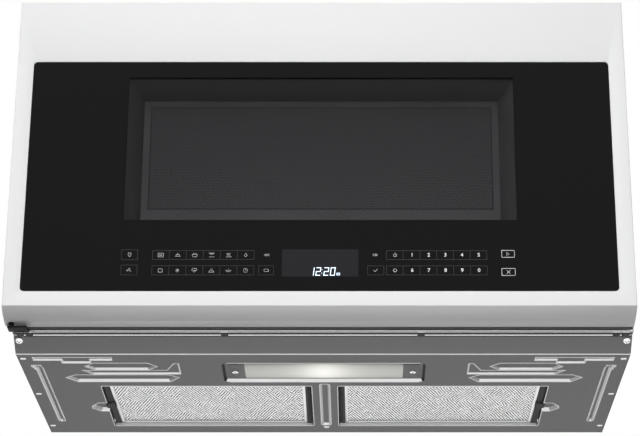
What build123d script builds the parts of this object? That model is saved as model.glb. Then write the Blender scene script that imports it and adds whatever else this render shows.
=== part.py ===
from build123d import *
import math
import os

# Over the range microwave with a full-width door hinged on its left.
# Frame: +X to the viewer's right, +Y to the rear, +Z up, millimetres.
# The origin is the middle of the footprint, on the plane of the base.

# ---- overall ----
DOOR_WIDTH = 760.0
DOOR_HEIGHT = 408.8
DEPTH = 413.0
BASE_DROP = 33.4  # the base lies this far below the door's front edge
SHEET = 1.0  # steel sheet of the cabinet
CASE_INSET = 7.0  # the cabinet's left side stands in from the door's

# ---- door shell ----
DOOR_THICK = 41.0
DOOR_GAP = 4.0  # between the door's back and the front plate
LIP_DROP = 13.0  # the door's underside falls this much to the rear
LIP_SAG = 2.4  # and bows out this much on the way
SHELL_WALL = 2.0
FRONT_EDGE_R = 1.6
HINGE_CORNER_R = 6.0
COVER_THICK = 2.0

# ---- door glass and window, heights from the door's front bottom edge ----
GLASS_MARGIN = 20.7
GLASS_LOW = 18.3
GLASS_HIGH = 324.4
GLASS_CORNER_R = 5.0
GLASS_THICK = 4.0
GLASS_SINK = 0.3
GLASS_CLEARANCE = 0.3
LEDGE = 6.0
WINDOW_MARGIN = 119.9  # from the glass's side to the window
WINDOW_LOW = 110.5
WINDOW_HIGH = 302.6
BEZEL_DEPTH = 28.0
BEZEL_SLOPE = 17.7  # how far the sides and the top lean in
BEZEL_SLOPE_LOW = 3.0
BEZEL_WALL = 1.2
SCREEN_THICK = 0.8
INNER_WINDOW_THICK = 2.0

# ---- door's inner panel ----
CHOKE_OVERLAP = 8.0  # plateau beyond the cavity's mouth
CHOKE_WIDTH = 17.0
CHOKE_DEPTH = 18.0
CHOKE_COVER_LEG = 1.2
BOSS_R = 4.0

# ---- hinge ----
HINGE_INSET = 8.0  # axis from the door's left edge
HINGE_BACK = 33.0  # axis behind the door's front
PIN_R = 3.0
PIN_FIT = 0.06
BUSH_R = 5.0
BUSH_SEAT_R = 7.5
BUSH_LENGTH = 11.0
BRACKET_THICK = 2.5
BRACKET_WIDTH = 21.0
BRACKET_LEG = 40.0
NOTCH_DEPTH = 9.0
NOTCH_FRONT = 12.0
BRACKET_GAP = 2.4  # under the door's lip

# ---- latch ----
LATCH_INSET = 74.0  # hooks from the door's right edge
LATCH_WIDTH = 8.0
LATCH_TRAVEL = 4.0
HOOK_HEIGHT = 12.0
HOOK_REACH = 21.0  # behind the door's back face
HOOK_LOW = 134.0
HOOK_HIGH = 324.0
LATCH_BAR_THICK = 6.0
SLIDE_CLEARANCE = 0.5
LATCH_SPRING_R = 4.0
LATCH_SPRING_LENGTH = 26.0

# ---- grip in the door's right edge ----
GRIP_LOW = 190.0
GRIP_HIGH = 300.0
GRIP_DEPTH = 19.0
GRIP_REACH = 24.0
GRIP_WALL = 1.6

# ---- controls, heights from the door's front bottom edge ----
DISPLAY_WIDTH = 92.0
DISPLAY_LOW = 37.0
DISPLAY_HIGH = 72.0
DISPLAY_DEPTH = 12.0
TOUCH_WIDTH = 500.0
TOUCH_LOW = 28.0
TOUCH_HIGH = 80.0
BOARD_THICK = 1.6

# ---- cabinet ----
STRIP_RUN = 23.0  # inclined strip at the front of the base, along Y
STRIP_RISE = 15.0
STRIP_SETBACK = 14.5  # strip's front edge behind the front plate
CASE_FLANGE = 12.0
GRILLE_RUN = 41.0
GRILLE_RISE = 23.0
GRILLE_THICK = 3.0
GRILLE_SLOTS = 12
GRILLE_ROWS = 4
SLOT_HEIGHT = 6.0
FLANGE_BACK = 14.0
CHARCOAL_SIZE = (360.0, 34.0, 10.0)
CHARCOAL_WALL = 5.0
GLAND_R = 11.0
GLAND_FLANGE_R = 15.0
GLAND_BORE_R = 5.0
BOLT_SPACING = 460.0
BOLT_HOLE_R = 3.5
BOLT_FROM_FRONT = 60.0
NUT_ACROSS = 16.0
NUT_HEIGHT = 8.0
OUTLET_WIDTH = 254.0
OUTLET_DEPTH = 83.0
OUTLET_FROM_REAR = 16.0
OUTLET_COLLAR = 6.0
WALL_SLOT_LENGTH = 44.0
WALL_SLOT_HEIGHT = 6.0
WALL_SLOT_SPACING = 560.0
WALL_SLOT_Z = 16.0

# ---- underside ----
OPENING_INNER = 17.0  # filter openings, distances from the middle line
OPENING_OUTER = 285.8
OPENING_FRONT = 210.0  # distances behind the door's front
OPENING_REAR = 32.0  # before the cabinet's back
OPENING_HEM = 4.0
FILTER_CLEARANCE = 1.2
FILTER_THICK = 8.0
FILTER_RIM = 5.0
FILTER_SHEET = 0.8
MESH_THICK = 2.5
TAB_WIDTH = 8.0
TAB_BULGE = 5.0
TAB_LENGTH = 24.0
TAB_THICK = 2.5
TOOTH_STRIP = 7.0  # the filters' inner end strips
TOOTH_PITCH = 5.0
TOOTH_DEPTH = 2.0
TONGUE_WIDTH = 18.0
TONGUE_REACH = 3.6
TONGUE_GAP = 0.2
LIGHT_WIDTH = 254.0
LIGHT_FRONT = 118.5
LIGHT_BACK = 191.0
LIGHT_DEPTH = 3.2
LIGHT_PLATE_THICK = 1.0
LENS_WIDTH = 198.0
LENS_DEPTH = 50.0
LENS_THICK = 1.6
LENS_CROWN = 1.2
EMBOSS_SLOPE = 45.0
CHANNEL_DEPTH = 1.6
HEXAGON_DEPTH = 2.0
PLATFORM_DEPTH = 1.4
LONG_BEAD_DEPTH = 2.8
SIDE_BEAD_DEPTH = 2.4
RIB_DEPTH = 2.6
RIB_HALF_WIDTH = 6.1
SCREW_HEAD_R = 3.4
SCREW_HEAD_HEIGHT = 1.9
SCREW_SHANK_R = 1.8
SCREW_LENGTH = 8.0
DIMPLE_R = 4.6
DIMPLE_DEPTH = 2.2
SCREW_INSET = 6.4
SCREW_STATIONS = (100.9, 242.1, DEPTH - 31.0)  # behind the door's front
REAR_SCREW_INSET = 24.0
STRIP_SCREW_R = 4.6
STRIP_SCREW_HEIGHT = 2.2
STRIP_SCREW_RUN = 5.5  # along the strip
CLIP_SIZE = (9.0, 12.0, 2.4)

# ---- oven cavity ----
LEFT_BAY = 88.0  # from the case's left side to the cavity
RIGHT_BAY = 135.0
REAR_BAY = 57.0
CAVITY_HEIGHT = 250.0
CAVITY_FLOOR = 102.0
CAVITY_CORNER_R = 4.0
FLANGE_REACH = 10.0  # the flange round the cavity's mouth
MOUTH_MARGIN = 4.0  # the front plate stands clear of the cavity's mouth
PORT_DEPTH = 80.0
PORT_HEIGHT = 44.0
PORT_LOW = 236.0
PORT_Y = 35.0

# ---- turntable ----
TRAY_CLEARANCE = 9.0  # in front of the tray and behind it
TRAY_THICK = 4.5
TRAY_LIP = 10.0
COUPLER_R = 11.0
SHAFT_R = 3.0
RING_R = 92.0
RING_BAR = 5.0
WHEEL_R = 7.5
WHEEL_WIDTH = 6.0
ROLL_GAP = 0.35
AXLE_R = 1.5
TURNTABLE_MOTOR_R = 24.5
TURNTABLE_MOTOR_HEIGHT = 18.0

# ---- vent blower ----
BLOWER_WHEEL_R = 34.0
BLOWER_WHEEL_LENGTH = 76.0
BLOWER_BLADES = 24
BLADE_DEPTH = 6.0
BLADE_THICK = 0.8
SCROLL_R = 41.0
SCROLL_WALL = 1.2
SCROLL_GAP = 3.0
BLOWER_MOTOR_R = 30.0
BLOWER_MOTOR_LENGTH = 64.0
BLOWER_FROM_REAR = 52.0

# ---- convection unit ----
FAN_R = 58.0
FAN_BLADES = 8
FAN_HEIGHT = 16.0
CAN_R = 92.0
CAN_DEPTH = 30.0
CONVECTION_MOTOR_R = 28.0
CONVECTION_MOTOR_LENGTH = 18.0
CONVECTION_Z = 232.0
HEATER_R = 74.0
HEATER_TUBE_R = 3.2
COVER_WIDTH = 236.0
COVER_HEIGHT = 206.0
COVER_DEPTH = 9.0

# ---- grill element ----
GRILL_WIDTH = 330.0
GRILL_DEPTH = 190.0
GRILL_LEGS = 4
GRILL_DROP = 9.0

# ---- electrical bay ----
TRAY_Z = 103.0
BAY_MARGIN = 4.0
TRANSFORMER_SIZE = (78.0, 88.0, 62.0)
CAPACITOR_SIZE = (52.0, 34.0, 84.0)
MAGNETRON_SIZE = (84.0, 92.0, 70.0)
MAGNETRON_FINS = 5
WAVEGUIDE_DEPTH = 36.0
COOLING_FAN_R = 44.0
COOLING_FAN_BLADES = 5
COOLING_HOUSING = 102.0
COOLING_DEPTH = 26.0
SWITCH_SIZE = (10.0, 28.0, 16.0)
PLUNGER_R = 1.5
PLUNGER_FIT = 0.04
PLUNGER_LENGTH = 12.0
BRACKET_REACH = 40.0  # interlock bracket behind the hooks' noses

# ---- planes worked out from the sizes above ----
FRONT_Y = -DEPTH / 2
REAR_Y = DEPTH / 2
DOOR_BACK_Y = FRONT_Y + DOOR_THICK
PLATE_Y = DOOR_BACK_Y + DOOR_GAP
CAVITY_FRONT_Y = PLATE_Y + SHEET
CAVITY_BACK_Y = REAR_Y - REAR_BAY
DOOR_X0 = -DOOR_WIDTH / 2
DOOR_X1 = DOOR_WIDTH / 2
CASE_X1 = DOOR_X1
CASE_X0 = DOOR_X0 + CASE_INSET
CASE_WIDTH = CASE_X1 - CASE_X0
BODY_X = (CASE_X0 + CASE_X1) / 2
TOP_Z = BASE_DROP + DOOR_HEIGHT
LIP_Z = BASE_DROP - LIP_DROP
GLASS_WIDTH = DOOR_WIDTH - 2 * GLASS_MARGIN
WINDOW_WIDTH = GLASS_WIDTH - 2 * WINDOW_MARGIN
LATCH_X = DOOR_X1 - LATCH_INSET
OPENING_BACK = DEPTH - OPENING_REAR
CAVITY_X0 = CASE_X0 + LEFT_BAY
CAVITY_X1 = CASE_X1 - RIGHT_BAY
CAVITY_X = (CAVITY_X0 + CAVITY_X1) / 2
CAVITY_TOP = CAVITY_FLOOR + CAVITY_HEIGHT
TURN_Y = (CAVITY_FRONT_Y + CAVITY_BACK_Y) / 2
TRAY_R = (CAVITY_BACK_Y - CAVITY_FRONT_Y) / 2 - TRAY_CLEARANCE
HINGE_X = DOOR_X0 + HINGE_INSET
HINGE_Y = FRONT_Y + HINGE_BACK
STRIP_FRONT_Y = PLATE_Y + STRIP_SETBACK
CREASE_Y = STRIP_FRONT_Y + STRIP_RUN
PLATE_LOW_Z = STRIP_RISE + SHEET + 4.0
GRILLE_BACK_Y = PLATE_Y + GRILLE_RUN
PLATE_HIGH_Z = TOP_Z - GRILLE_RISE
CASE_FLANGE_Z = DIMPLE_DEPTH + SHEET


# ---- helpers ----
def rect(x0, x1, y0, y1, r=0.0):
    """A rectangle by its limits, with rounded corners if r is given."""
    place = Pos((x0 + x1) / 2, (y0 + y1) / 2)
    if r > 0:
        return place * RectangleRounded(x1 - x0, y1 - y0, r)
    return place * Rectangle(x1 - x0, y1 - y0)


def prism_x(sketch, x0, x1):
    """A sketch of (Y, Z) points drawn out from x0 to x1."""
    return extrude(Plane.YZ.offset(x0) * sketch, x1 - x0)


def prism_y(sketch, y0, y1):
    """A sketch of (X, Z) points drawn out from y0 to y1."""
    return extrude(Plane.XZ.offset(-y1) * sketch, y1 - y0)


def prism_z(sketch, z0, z1):
    """A sketch of (X, Y) points drawn out from z0 to z1."""
    return extrude(Plane.XY.offset(z0) * sketch, z1 - z0)


def block(x0, x1, y0, y1, z0, z1):
    """A plain block by its limits."""
    return prism_z(rect(x0, x1, y0, y1), z0, z1)


def rod_x(r, x0, x1, y, z):
    """A round bar along X."""
    return prism_x(Pos(y, z) * Circle(r), x0, x1)


def rod_y(r, y0, y1, x, z):
    """A round bar along Y."""
    return prism_y(Pos(x, z) * Circle(r), y0, y1)


def rod_z(r, z0, z1, x, y):
    """A round bar along Z."""
    return prism_z(Pos(x, y) * Circle(r), z0, z1)


def polygon(*points):
    """A flat face through the given corners."""
    return make_face(Polyline(*points, close=True))


def both_sides(piece):
    """A piece and its mirror image about the cabinet's middle plane."""
    return [piece, mirror(piece, about=Plane.YZ.offset(BODY_X))]


def behind(distance):
    """The Y of a point that lies this far behind the door's front."""
    return FRONT_Y + distance


def door_z(height):
    """The Z of a point this high above the door's front bottom edge."""
    return BASE_DROP + height


def save(name, shape):
    """Writes one sub-part."""
    solids = ShapeList(shape.solids()) if not isinstance(shape, list) else ShapeList(
        solid for piece in shape for solid in piece.solids()
    )
    body = Compound(children=list(solids)) if len(solids) > 1 else solids[0]
    body.label = name
    export_step(body, f"parts/{name}.step")


# ---- door ----
def lip_profile(wall):
    """The door's section from the side, drawn in by the given wall."""
    slope = LIP_DROP / DOOR_THICK
    front = FRONT_Y + wall
    low = BASE_DROP + wall * math.hypot(1, slope) - wall * slope
    low_back = LIP_Z + wall * math.hypot(1, slope)
    run = math.hypot(1, slope)
    middle = (
        (front + DOOR_BACK_Y) / 2 - LIP_SAG * slope / run,
        (low + low_back) / 2 - LIP_SAG / run,
    )
    lip = ThreePointArc((front, low), middle, (DOOR_BACK_Y, low_back))
    rest = Polyline(
        (DOOR_BACK_Y, low_back), (DOOR_BACK_Y, TOP_Z - wall), (front, TOP_Z - wall), (front, low)
    )
    return make_face([lip, rest])


def hinge_seat_limits(low):
    """The moulded block that holds a hinge bush, at the door's foot or head."""
    if low:
        return LIP_Z + SHELL_WALL, LIP_Z + SHELL_WALL + BUSH_LENGTH + 8.0
    return TOP_Z - NOTCH_DEPTH - BUSH_LENGTH, TOP_Z - NOTCH_DEPTH


def make_door_frame():
    shell = prism_x(lip_profile(0), DOOR_X0, DOOR_X1)
    front = shell.edges().filter_by_position(Axis.Y, FRONT_Y - 0.01, FRONT_Y + 0.01)
    shell = fillet(front, FRONT_EDGE_R)
    corner = shell.edges().filter_by(Axis.Z).filter_by_position(
        Axis.Y, DOOR_BACK_Y - 0.01, DOOR_BACK_Y + 0.01
    )
    shell = fillet(corner.sort_by(Axis.X)[0], HINGE_CORNER_R)
    whole = shell
    hollow = prism_x(lip_profile(SHELL_WALL), DOOR_X0 + SHELL_WALL, DOOR_X1 - SHELL_WALL)
    inner_corner = hollow.edges().filter_by(Axis.Z).filter_by_position(
        Axis.Y, DOOR_BACK_Y - 0.01, DOOR_BACK_Y + 0.01
    )
    hollow = fillet(inner_corner.sort_by(Axis.X)[0], HINGE_CORNER_R - SHELL_WALL)
    shell -= hollow
    z0, z1 = door_z(GLASS_LOW), door_z(GLASS_HIGH)
    half = GLASS_WIDTH / 2
    hole = half + GLASS_CLEARANCE
    edge = GLASS_CLEARANCE
    opening = rect(-hole, hole, z0 - edge, z1 + edge, GLASS_CORNER_R + edge)
    rim = hole + SHELL_WALL
    rim_edge = edge + SHELL_WALL
    outer = rect(-rim, rim, z0 - rim_edge, z1 + rim_edge, GLASS_CORNER_R + rim_edge)
    ledge_y = FRONT_Y + GLASS_SINK + GLASS_THICK
    shell += prism_y(outer, FRONT_Y + SHELL_WALL, ledge_y + SHELL_WALL)
    shell -= prism_y(opening, FRONT_Y - 1, ledge_y)
    inner = rect(-half + LEDGE, half - LEDGE, z0 + LEDGE, z1 - LEDGE)
    shell -= prism_y(inner, FRONT_Y, ledge_y + SHELL_WALL + 1)
    for low in (True, False):
        s0, s1 = hinge_seat_limits(low)
        x1 = HINGE_X + BUSH_SEAT_R + 6.0
        y0 = HINGE_Y - BUSH_SEAT_R - 2.0
        seat = block(DOOR_X0 + SHELL_WALL / 2, x1, y0, HINGE_Y + BUSH_R + 1.0, s0, s1)
        shell += seat & whole
    notch_x1 = HINGE_X + BRACKET_WIDTH
    notch_y0 = HINGE_Y - NOTCH_FRONT
    shell -= block(
        DOOR_X0 - 1, notch_x1, notch_y0, DOOR_BACK_Y + 1, TOP_Z - NOTCH_DEPTH, TOP_Z + 1
    )
    shell -= rod_z(BUSH_R, 0, TOP_Z + 1, HINGE_X, HINGE_Y)
    cut = block(
        DOOR_X1 - GRIP_REACH,
        DOOR_X1 + 1,
        DOOR_BACK_Y - GRIP_DEPTH,
        DOOR_BACK_Y + 1,
        GRIP_LOW,
        GRIP_HIGH,
    )
    return shell - cut


def make_hinge_bushes():
    """Nylon bushes pressed in the door's foot and head."""
    low0 = hinge_seat_limits(True)[1] - BUSH_LENGTH
    high1 = hinge_seat_limits(False)[1]
    bushes = []
    for z0 in (low0, high1 - BUSH_LENGTH):
        bush = rod_z(BUSH_R, z0, z0 + BUSH_LENGTH, HINGE_X, HINGE_Y)
        bush -= rod_z(PIN_R + PIN_FIT, z0 - 1, z0 + BUSH_LENGTH + 1, HINGE_X, HINGE_Y)
        bushes.append(bush)
    return bushes


def make_door_glass():
    y0 = FRONT_Y + GLASS_SINK
    half = GLASS_WIDTH / 2
    face = rect(-half, half, door_z(GLASS_LOW), door_z(GLASS_HIGH), GLASS_CORNER_R)
    return prism_y(face, y0, y0 + GLASS_THICK)


def bezel_limits(depth, grow=0.0):
    """The window frame's inner outline at a depth behind the glass."""
    share = depth / BEZEL_DEPTH
    half = WINDOW_WIDTH / 2 - BEZEL_SLOPE * share + grow
    low = door_z(WINDOW_LOW) + BEZEL_SLOPE_LOW * share - grow
    high = door_z(WINDOW_HIGH) - BEZEL_SLOPE * share + grow
    return -half, half, low, high


def glass_back_y():
    return FRONT_Y + GLASS_SINK + GLASS_THICK


def make_window_bezel():
    """The bevelled frame that leads the eye in from the glass to the screen."""
    y0 = glass_back_y()
    y1 = y0 + BEZEL_DEPTH
    skins = []
    for grow in (BEZEL_WALL, 0.0):
        near = Plane.XZ.offset(-y0) * rect(*bezel_limits(0.0, grow))
        far = Plane.XZ.offset(-y1) * rect(*bezel_limits(BEZEL_DEPTH, grow))
        skins.append(loft([near, far], ruled=True))
    bezel = skins[0] - skins[1]
    outer = rect(*bezel_limits(0.0, BEZEL_WALL + 7.0))
    inner = rect(*bezel_limits(0.0))
    return bezel + prism_y(outer - inner, y0, y0 + BEZEL_WALL)


def screen_y():
    return glass_back_y() + BEZEL_DEPTH


def choke_mouth():
    """The plateau of the door's inner panel, a little larger than the cavity's mouth."""
    return (
        CAVITY_X0 - CHOKE_OVERLAP,
        CAVITY_X1 + CHOKE_OVERLAP,
        CAVITY_FLOOR - CHOKE_OVERLAP,
        CAVITY_TOP + CHOKE_OVERLAP,
    )


def grown(limits, by):
    x0, x1, z0, z1 = limits
    return x0 - by, x1 + by, z0 - by, z1 + by


def screen_limits():
    """The aperture of the inner panel, where the perforated screen is welded."""
    return grown(bezel_limits(BEZEL_DEPTH), 1.0)


def make_choke_panel():
    """The pressed inner panel: a dished middle, a plateau and the choke trough."""
    mouth = choke_mouth()
    back = DOOR_BACK_Y
    y_screen = screen_y()
    dish = grown(screen_limits(), 10.0)
    trough = grown(mouth, CHOKE_WIDTH)
    solid = prism_y(rect(*grown(trough, SHEET), 6.0), back - CHOKE_DEPTH, back)
    solid -= prism_y(rect(*trough, 5.0) - rect(*mouth, 5.0), back - CHOKE_DEPTH + SHEET, back)
    solid -= prism_y(rect(*grown(mouth, -SHEET), 4.0), back - CHOKE_DEPTH, back - SHEET)
    solid += prism_y(rect(*grown(dish, SHEET)), y_screen, back)
    solid -= prism_y(rect(*dish), y_screen + SHEET, back)
    solid -= prism_y(rect(*screen_limits()), y_screen - 1, back)
    return solid + choke_skirt(trough)


def choke_skirt(trough):
    """The flat skirt of the inner panel, out to the walls of the door's shell."""
    y0 = DOOR_BACK_Y - CHOKE_DEPTH
    x0, x1 = DOOR_X0 + SHELL_WALL, DOOR_X1 - SHELL_WALL
    skirt = prism_x(lip_profile(SHELL_WALL), x0, x1)
    skirt &= block(x0, x1, y0, y0 + SHEET, 0, TOP_Z)
    skirt -= prism_y(rect(*trough, 5.0), y0 - 1, y0 + 2 * SHEET)
    seat_x1 = HINGE_X + BUSH_SEAT_R + 7.0
    for low in (True, False):
        s0, s1 = hinge_seat_limits(low)
        z0, z1 = (s0 - 20.0, s1 + 1) if low else (s0 - 1, TOP_Z)
        skirt -= block(x0 - 1, seat_x1, y0 - 1, y0 + 2, z0, z1)
    notch_x1 = HINGE_X + BRACKET_WIDTH + 1.0
    skirt -= block(x0 - 1, notch_x1, y0 - 1, y0 + 2, TOP_Z - NOTCH_DEPTH - 1, TOP_Z)
    gx0, gx1, gy0, gy1, gz0, gz1 = grip_limits()
    return skirt - block(gx0 - 0.3, gx1, y0 - 1, y0 + 2, gz0 - 0.3, gz1 + 0.3)


def make_window_screen():
    y0 = screen_y()
    return prism_y(rect(*screen_limits()), y0, y0 + SCREEN_THICK)


def make_inner_window():
    y0 = screen_y() + SHEET
    limits = grown(screen_limits(), 9.0)
    return prism_y(rect(*limits, 2.0), y0, y0 + INNER_WINDOW_THICK)


def make_choke_cover():
    """The moulded ring that closes the choke trough towards the cavity."""
    trough = grown(choke_mouth(), CHOKE_WIDTH)
    back = DOOR_BACK_Y
    ring = rect(*grown(trough, -0.4), 4.6) - rect(*grown(choke_mouth(), 0.4), 5.4)
    cover = prism_y(ring, back - COVER_THICK, back)
    leg = rect(*grown(trough, -0.4), 4.6) - rect(*grown(trough, -0.4 - CHOKE_COVER_LEG), 3.4)
    return cover + prism_y(leg, back - CHOKE_DEPTH + SHEET, back - COVER_THICK)


def grip_limits():
    return (
        DOOR_X1 - GRIP_REACH,
        DOOR_X1,
        DOOR_BACK_Y - GRIP_DEPTH,
        DOOR_BACK_Y,
        GRIP_LOW,
        GRIP_HIGH,
    )


def make_door_back_cover():
    """The moulded rear cover around the choke panel, with the latch slots."""
    slope_z = LIP_Z + SHELL_WALL * 1.1
    x0, x1 = DOOR_X0 + SHELL_WALL, DOOR_X1 - SHELL_WALL
    gap = 0.3
    outline = rect(
        x0 + HINGE_CORNER_R + gap, x1 - gap, slope_z + gap + 0.6, TOP_Z - SHELL_WALL - gap, 2.0
    )
    hole = grown(choke_mouth(), CHOKE_WIDTH + SHEET + gap)
    back = DOOR_BACK_Y
    cover = prism_y(outline - rect(*hole, 6.0 + gap), back - COVER_THICK, back)
    cover -= block(
        DOOR_X0, HINGE_X + BRACKET_WIDTH + 1, FRONT_Y, back + 1, TOP_Z - NOTCH_DEPTH - 1, TOP_Z
    )
    for foot in (HOOK_LOW, HOOK_HIGH):
        half = LATCH_WIDTH / 2 + SLIDE_CLEARANCE
        cover -= block(
            LATCH_X - half,
            LATCH_X + half,
            back - COVER_THICK - 1,
            back + 1,
            foot - SLIDE_CLEARANCE,
            foot + HOOK_HEIGHT + LATCH_TRAVEL + SLIDE_CLEARANCE,
        )
    gx0, gx1, gy0, gy1, gz0, gz1 = grip_limits()
    cover -= block(gx0, gx1, gy0, gy1 + 1, gz0, gz1)
    y_skirt = back - CHOKE_DEPTH + SHEET
    for x in (x0 + 32.0, x1 - 32.0):
        for z in (door_z(70.0), door_z(DOOR_HEIGHT - 70.0)):
            cover += rod_y(BOSS_R, y_skirt, back - COVER_THICK, x, z)
    post_y0 = back - COVER_THICK - SLIDE_CLEARANCE - LATCH_BAR_THICK
    for side in (-1, 1):
        near = LATCH_X + side * (LATCH_WIDTH / 2 + SLIDE_CLEARANCE)
        far = near + side * 2.0
        cover += block(
            min(near, far),
            max(near, far),
            post_y0,
            back - COVER_THICK,
            (HOOK_LOW + HOOK_HIGH) / 2 - 20,
            (HOOK_LOW + HOOK_HIGH) / 2 + 20,
        )
    return cover + grip_scoop() + latch_spring_seat()


def grip_scoop():
    """The moulded scoop that lines the finger hold in the door's right edge."""
    x0, x1, y0, y1, z0, z1 = grip_limits()
    face = polygon((x0, y1), (x0, y0 + 6), (x0 + 6, y0), (x1, y0), (x1, y1))
    solid = prism_z(face, z0, z1)
    w = GRIP_WALL
    hollow_face = polygon(
        (x0 + w, y1 + 1),
        (x0 + w, y0 + 6 + w * 0.6),
        (x0 + 6 + w * 0.6, y0 + w),
        (x1 + 1, y0 + w),
        (x1 + 1, y1 + 1),
    )
    return solid - prism_z(hollow_face, z0 + w, z1 - w)


def hook_profile(foot):
    """One hook from the side: a neck and a nose with two ramps."""
    y0 = DOOR_BACK_Y - COVER_THICK - SLIDE_CLEARANCE - LATCH_BAR_THICK
    tip = DOOR_BACK_Y + HOOK_REACH
    return polygon(
        (y0, foot + 3.0),
        (tip - 9.0, foot + 3.0),
        (tip - 7.0, foot),
        (tip - 4.5, foot),
        (tip, foot + 6.0),
        (tip, foot + 8.0),
        (tip - 3.0, foot + HOOK_HEIGHT),
        (y0, foot + HOOK_HEIGHT),
    )


def make_door_latch():
    x0, x1 = LATCH_X - LATCH_WIDTH / 2, LATCH_X + LATCH_WIDTH / 2
    y1 = DOOR_BACK_Y - COVER_THICK - SLIDE_CLEARANCE
    bar = block(x0, x1, y1 - LATCH_BAR_THICK, y1, HOOK_LOW + 3.0, HOOK_HIGH + HOOK_HEIGHT)
    for foot in (HOOK_LOW, HOOK_HIGH):
        bar += prism_x(hook_profile(foot), x0, x1)
    return bar


def latch_spring_limits():
    z1 = HOOK_LOW + 3.0
    return z1 - LATCH_SPRING_LENGTH, z1


def make_latch_spring():
    z0, z1 = latch_spring_limits()
    y = DOOR_BACK_Y - COVER_THICK - SLIDE_CLEARANCE - LATCH_BAR_THICK / 2 - 2.0
    spring = rod_z(LATCH_SPRING_R, z0, z1, LATCH_X, y)
    return spring - rod_z(LATCH_SPRING_R - 0.9, z0 - 1, z1 + 1, LATCH_X, y)


def latch_spring_seat():
    """The moulded shelf inside the door that the latch spring hooks on."""
    z0 = latch_spring_limits()[0]
    y1 = DOOR_BACK_Y - COVER_THICK
    return block(LATCH_X - 9, LATCH_X + 9, y1 - 14.0, y1, z0 - 4.0, z0)


def make_display_module():
    y0 = glass_back_y()
    half = DISPLAY_WIDTH / 2
    box = block(-half, half, y0, y0 + DISPLAY_DEPTH, door_z(DISPLAY_LOW), door_z(DISPLAY_HIGH))
    return box


def make_touch_board():
    """The touch board behind the glass, cut out around the display."""
    y0 = glass_back_y()
    half = TOUCH_WIDTH / 2
    board = block(-half, half, y0, y0 + BOARD_THICK, door_z(TOUCH_LOW), door_z(TOUCH_HIGH))
    hole = DISPLAY_WIDTH / 2 + 0.5
    return board - block(
        -hole, hole, y0 - 1, y0 + 10, door_z(DISPLAY_LOW) - 0.5, door_z(DISPLAY_HIGH) + 0.5
    )


def make_control_board():
    """The control board with its relays, behind the display."""
    y0 = glass_back_y() + DISPLAY_DEPTH
    z0, z1 = door_z(12.0), door_z(TOUCH_LOW - 2.0)
    board = block(-120, 120, y0, y0 + BOARD_THICK, z0, door_z(DISPLAY_HIGH) - 30.0)
    for x in (-96, -66, 66, 96):
        board += block(x - 9, x + 9, y0 - 9, y0, z0 + 2, z1 - 1)
    return board


def hinge_bracket(low):
    """An L of thick steel plate with its pin."""
    t = BRACKET_THICK
    x0, x1 = HINGE_X - PIN_R - 1.5, HINGE_X + BRACKET_WIDTH - 2.0
    leg_x0 = CASE_X0 + SHEET + 0.5
    y0 = HINGE_Y - PIN_R - 1.5
    if low:
        z1 = LIP_Z - BRACKET_GAP
        plate = block(x0, x1, y0, PLATE_Y, z1 - t, z1)
        leg = block(leg_x0, x1, PLATE_Y - t, PLATE_Y, z1 - t, z1 + BRACKET_LEG)
        seat0, seat1 = hinge_seat_limits(True)
        pin = rod_z(PIN_R, z1, seat1 - 1.0, HINGE_X, HINGE_Y)
    else:
        z1 = TOP_Z - NOTCH_DEPTH + 1.0 + t
        plate = block(x0, x1, y0, PLATE_Y, z1 - t, z1)
        leg = block(leg_x0, x1, PLATE_Y - t, PLATE_Y, z1 - BRACKET_LEG, z1)
        pin = rod_z(PIN_R, z1 - t - BUSH_LENGTH, z1 - t, HINGE_X, HINGE_Y)
    return plate + leg + pin


# ---- cabinet shell ----
def base_line():
    """The underside of the base plate from the rear to the strip's front edge."""
    return [(REAR_Y, 0.0), (CREASE_Y, 0.0), (STRIP_FRONT_Y, STRIP_RISE)]


def base_section():
    """The base plate's folded sheet, seen from the side."""
    return make_face(offset(Polyline(*base_line()), amount=SHEET, side=Side.RIGHT))


def strip_lift():
    """How far the strip's upper face stands above its lower one, square up."""
    return SHEET * math.hypot(STRIP_RUN, STRIP_RISE) / STRIP_RUN


def under_base():
    """The base plate's sheet and all that lies below it, seen from the side."""
    below = polygon(
        *base_line(),
        (STRIP_FRONT_Y, STRIP_RISE + strip_lift()),
        (PLATE_Y - 1, STRIP_RISE + strip_lift()),
        (PLATE_Y - 1, -10),
        (REAR_Y + 1, -10),
        (REAR_Y + 1, SHEET),
        (REAR_Y, SHEET),
    )
    return base_section() + below


def strip_point(run, rise):
    """A point this far down the strip's slope and this far above its lower face."""
    length = math.hypot(STRIP_RUN, STRIP_RISE)
    along, up = STRIP_RUN / length, STRIP_RISE / length
    return STRIP_FRONT_Y + run * along + rise * up, STRIP_RISE - run * up + rise * along


def strip_flange():
    """The case's flange that lies on the strip, seen from the side."""
    return polygon(
        strip_point(3.0, SHEET),
        strip_point(14.0, SHEET),
        strip_point(14.0, 2 * SHEET),
        strip_point(3.0, 2 * SHEET),
    )


def strip_screw_planes():
    """Seats of the two screws at the strip's ends, square to its slope."""
    y, z = strip_point(STRIP_SCREW_RUN, 0.0)
    inward = Vector(0, STRIP_RISE, STRIP_RUN).normalized()
    reach = CASE_WIDTH / 2 - SCREW_INSET
    return [
        Plane(origin=(BODY_X + side * reach, y, z), x_dir=(1, 0, 0), z_dir=inward)
        for side in (-1, 1)
    ]


def make_strip_screws():
    """The two larger screws through the inclined strip."""
    screws = []
    for place in strip_screw_planes():
        head = extrude(place * Circle(STRIP_SCREW_R), -STRIP_SCREW_HEIGHT)
        screws.append(head + extrude(place * Circle(SCREW_SHANK_R), SCREW_LENGTH))
    return screws


def outlet_limits():
    return (
        BODY_X - OUTLET_WIDTH / 2,
        BODY_X + OUTLET_WIDTH / 2,
        REAR_Y - OUTLET_FROM_REAR - OUTLET_DEPTH,
        REAR_Y - OUTLET_FROM_REAR,
    )


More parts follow.
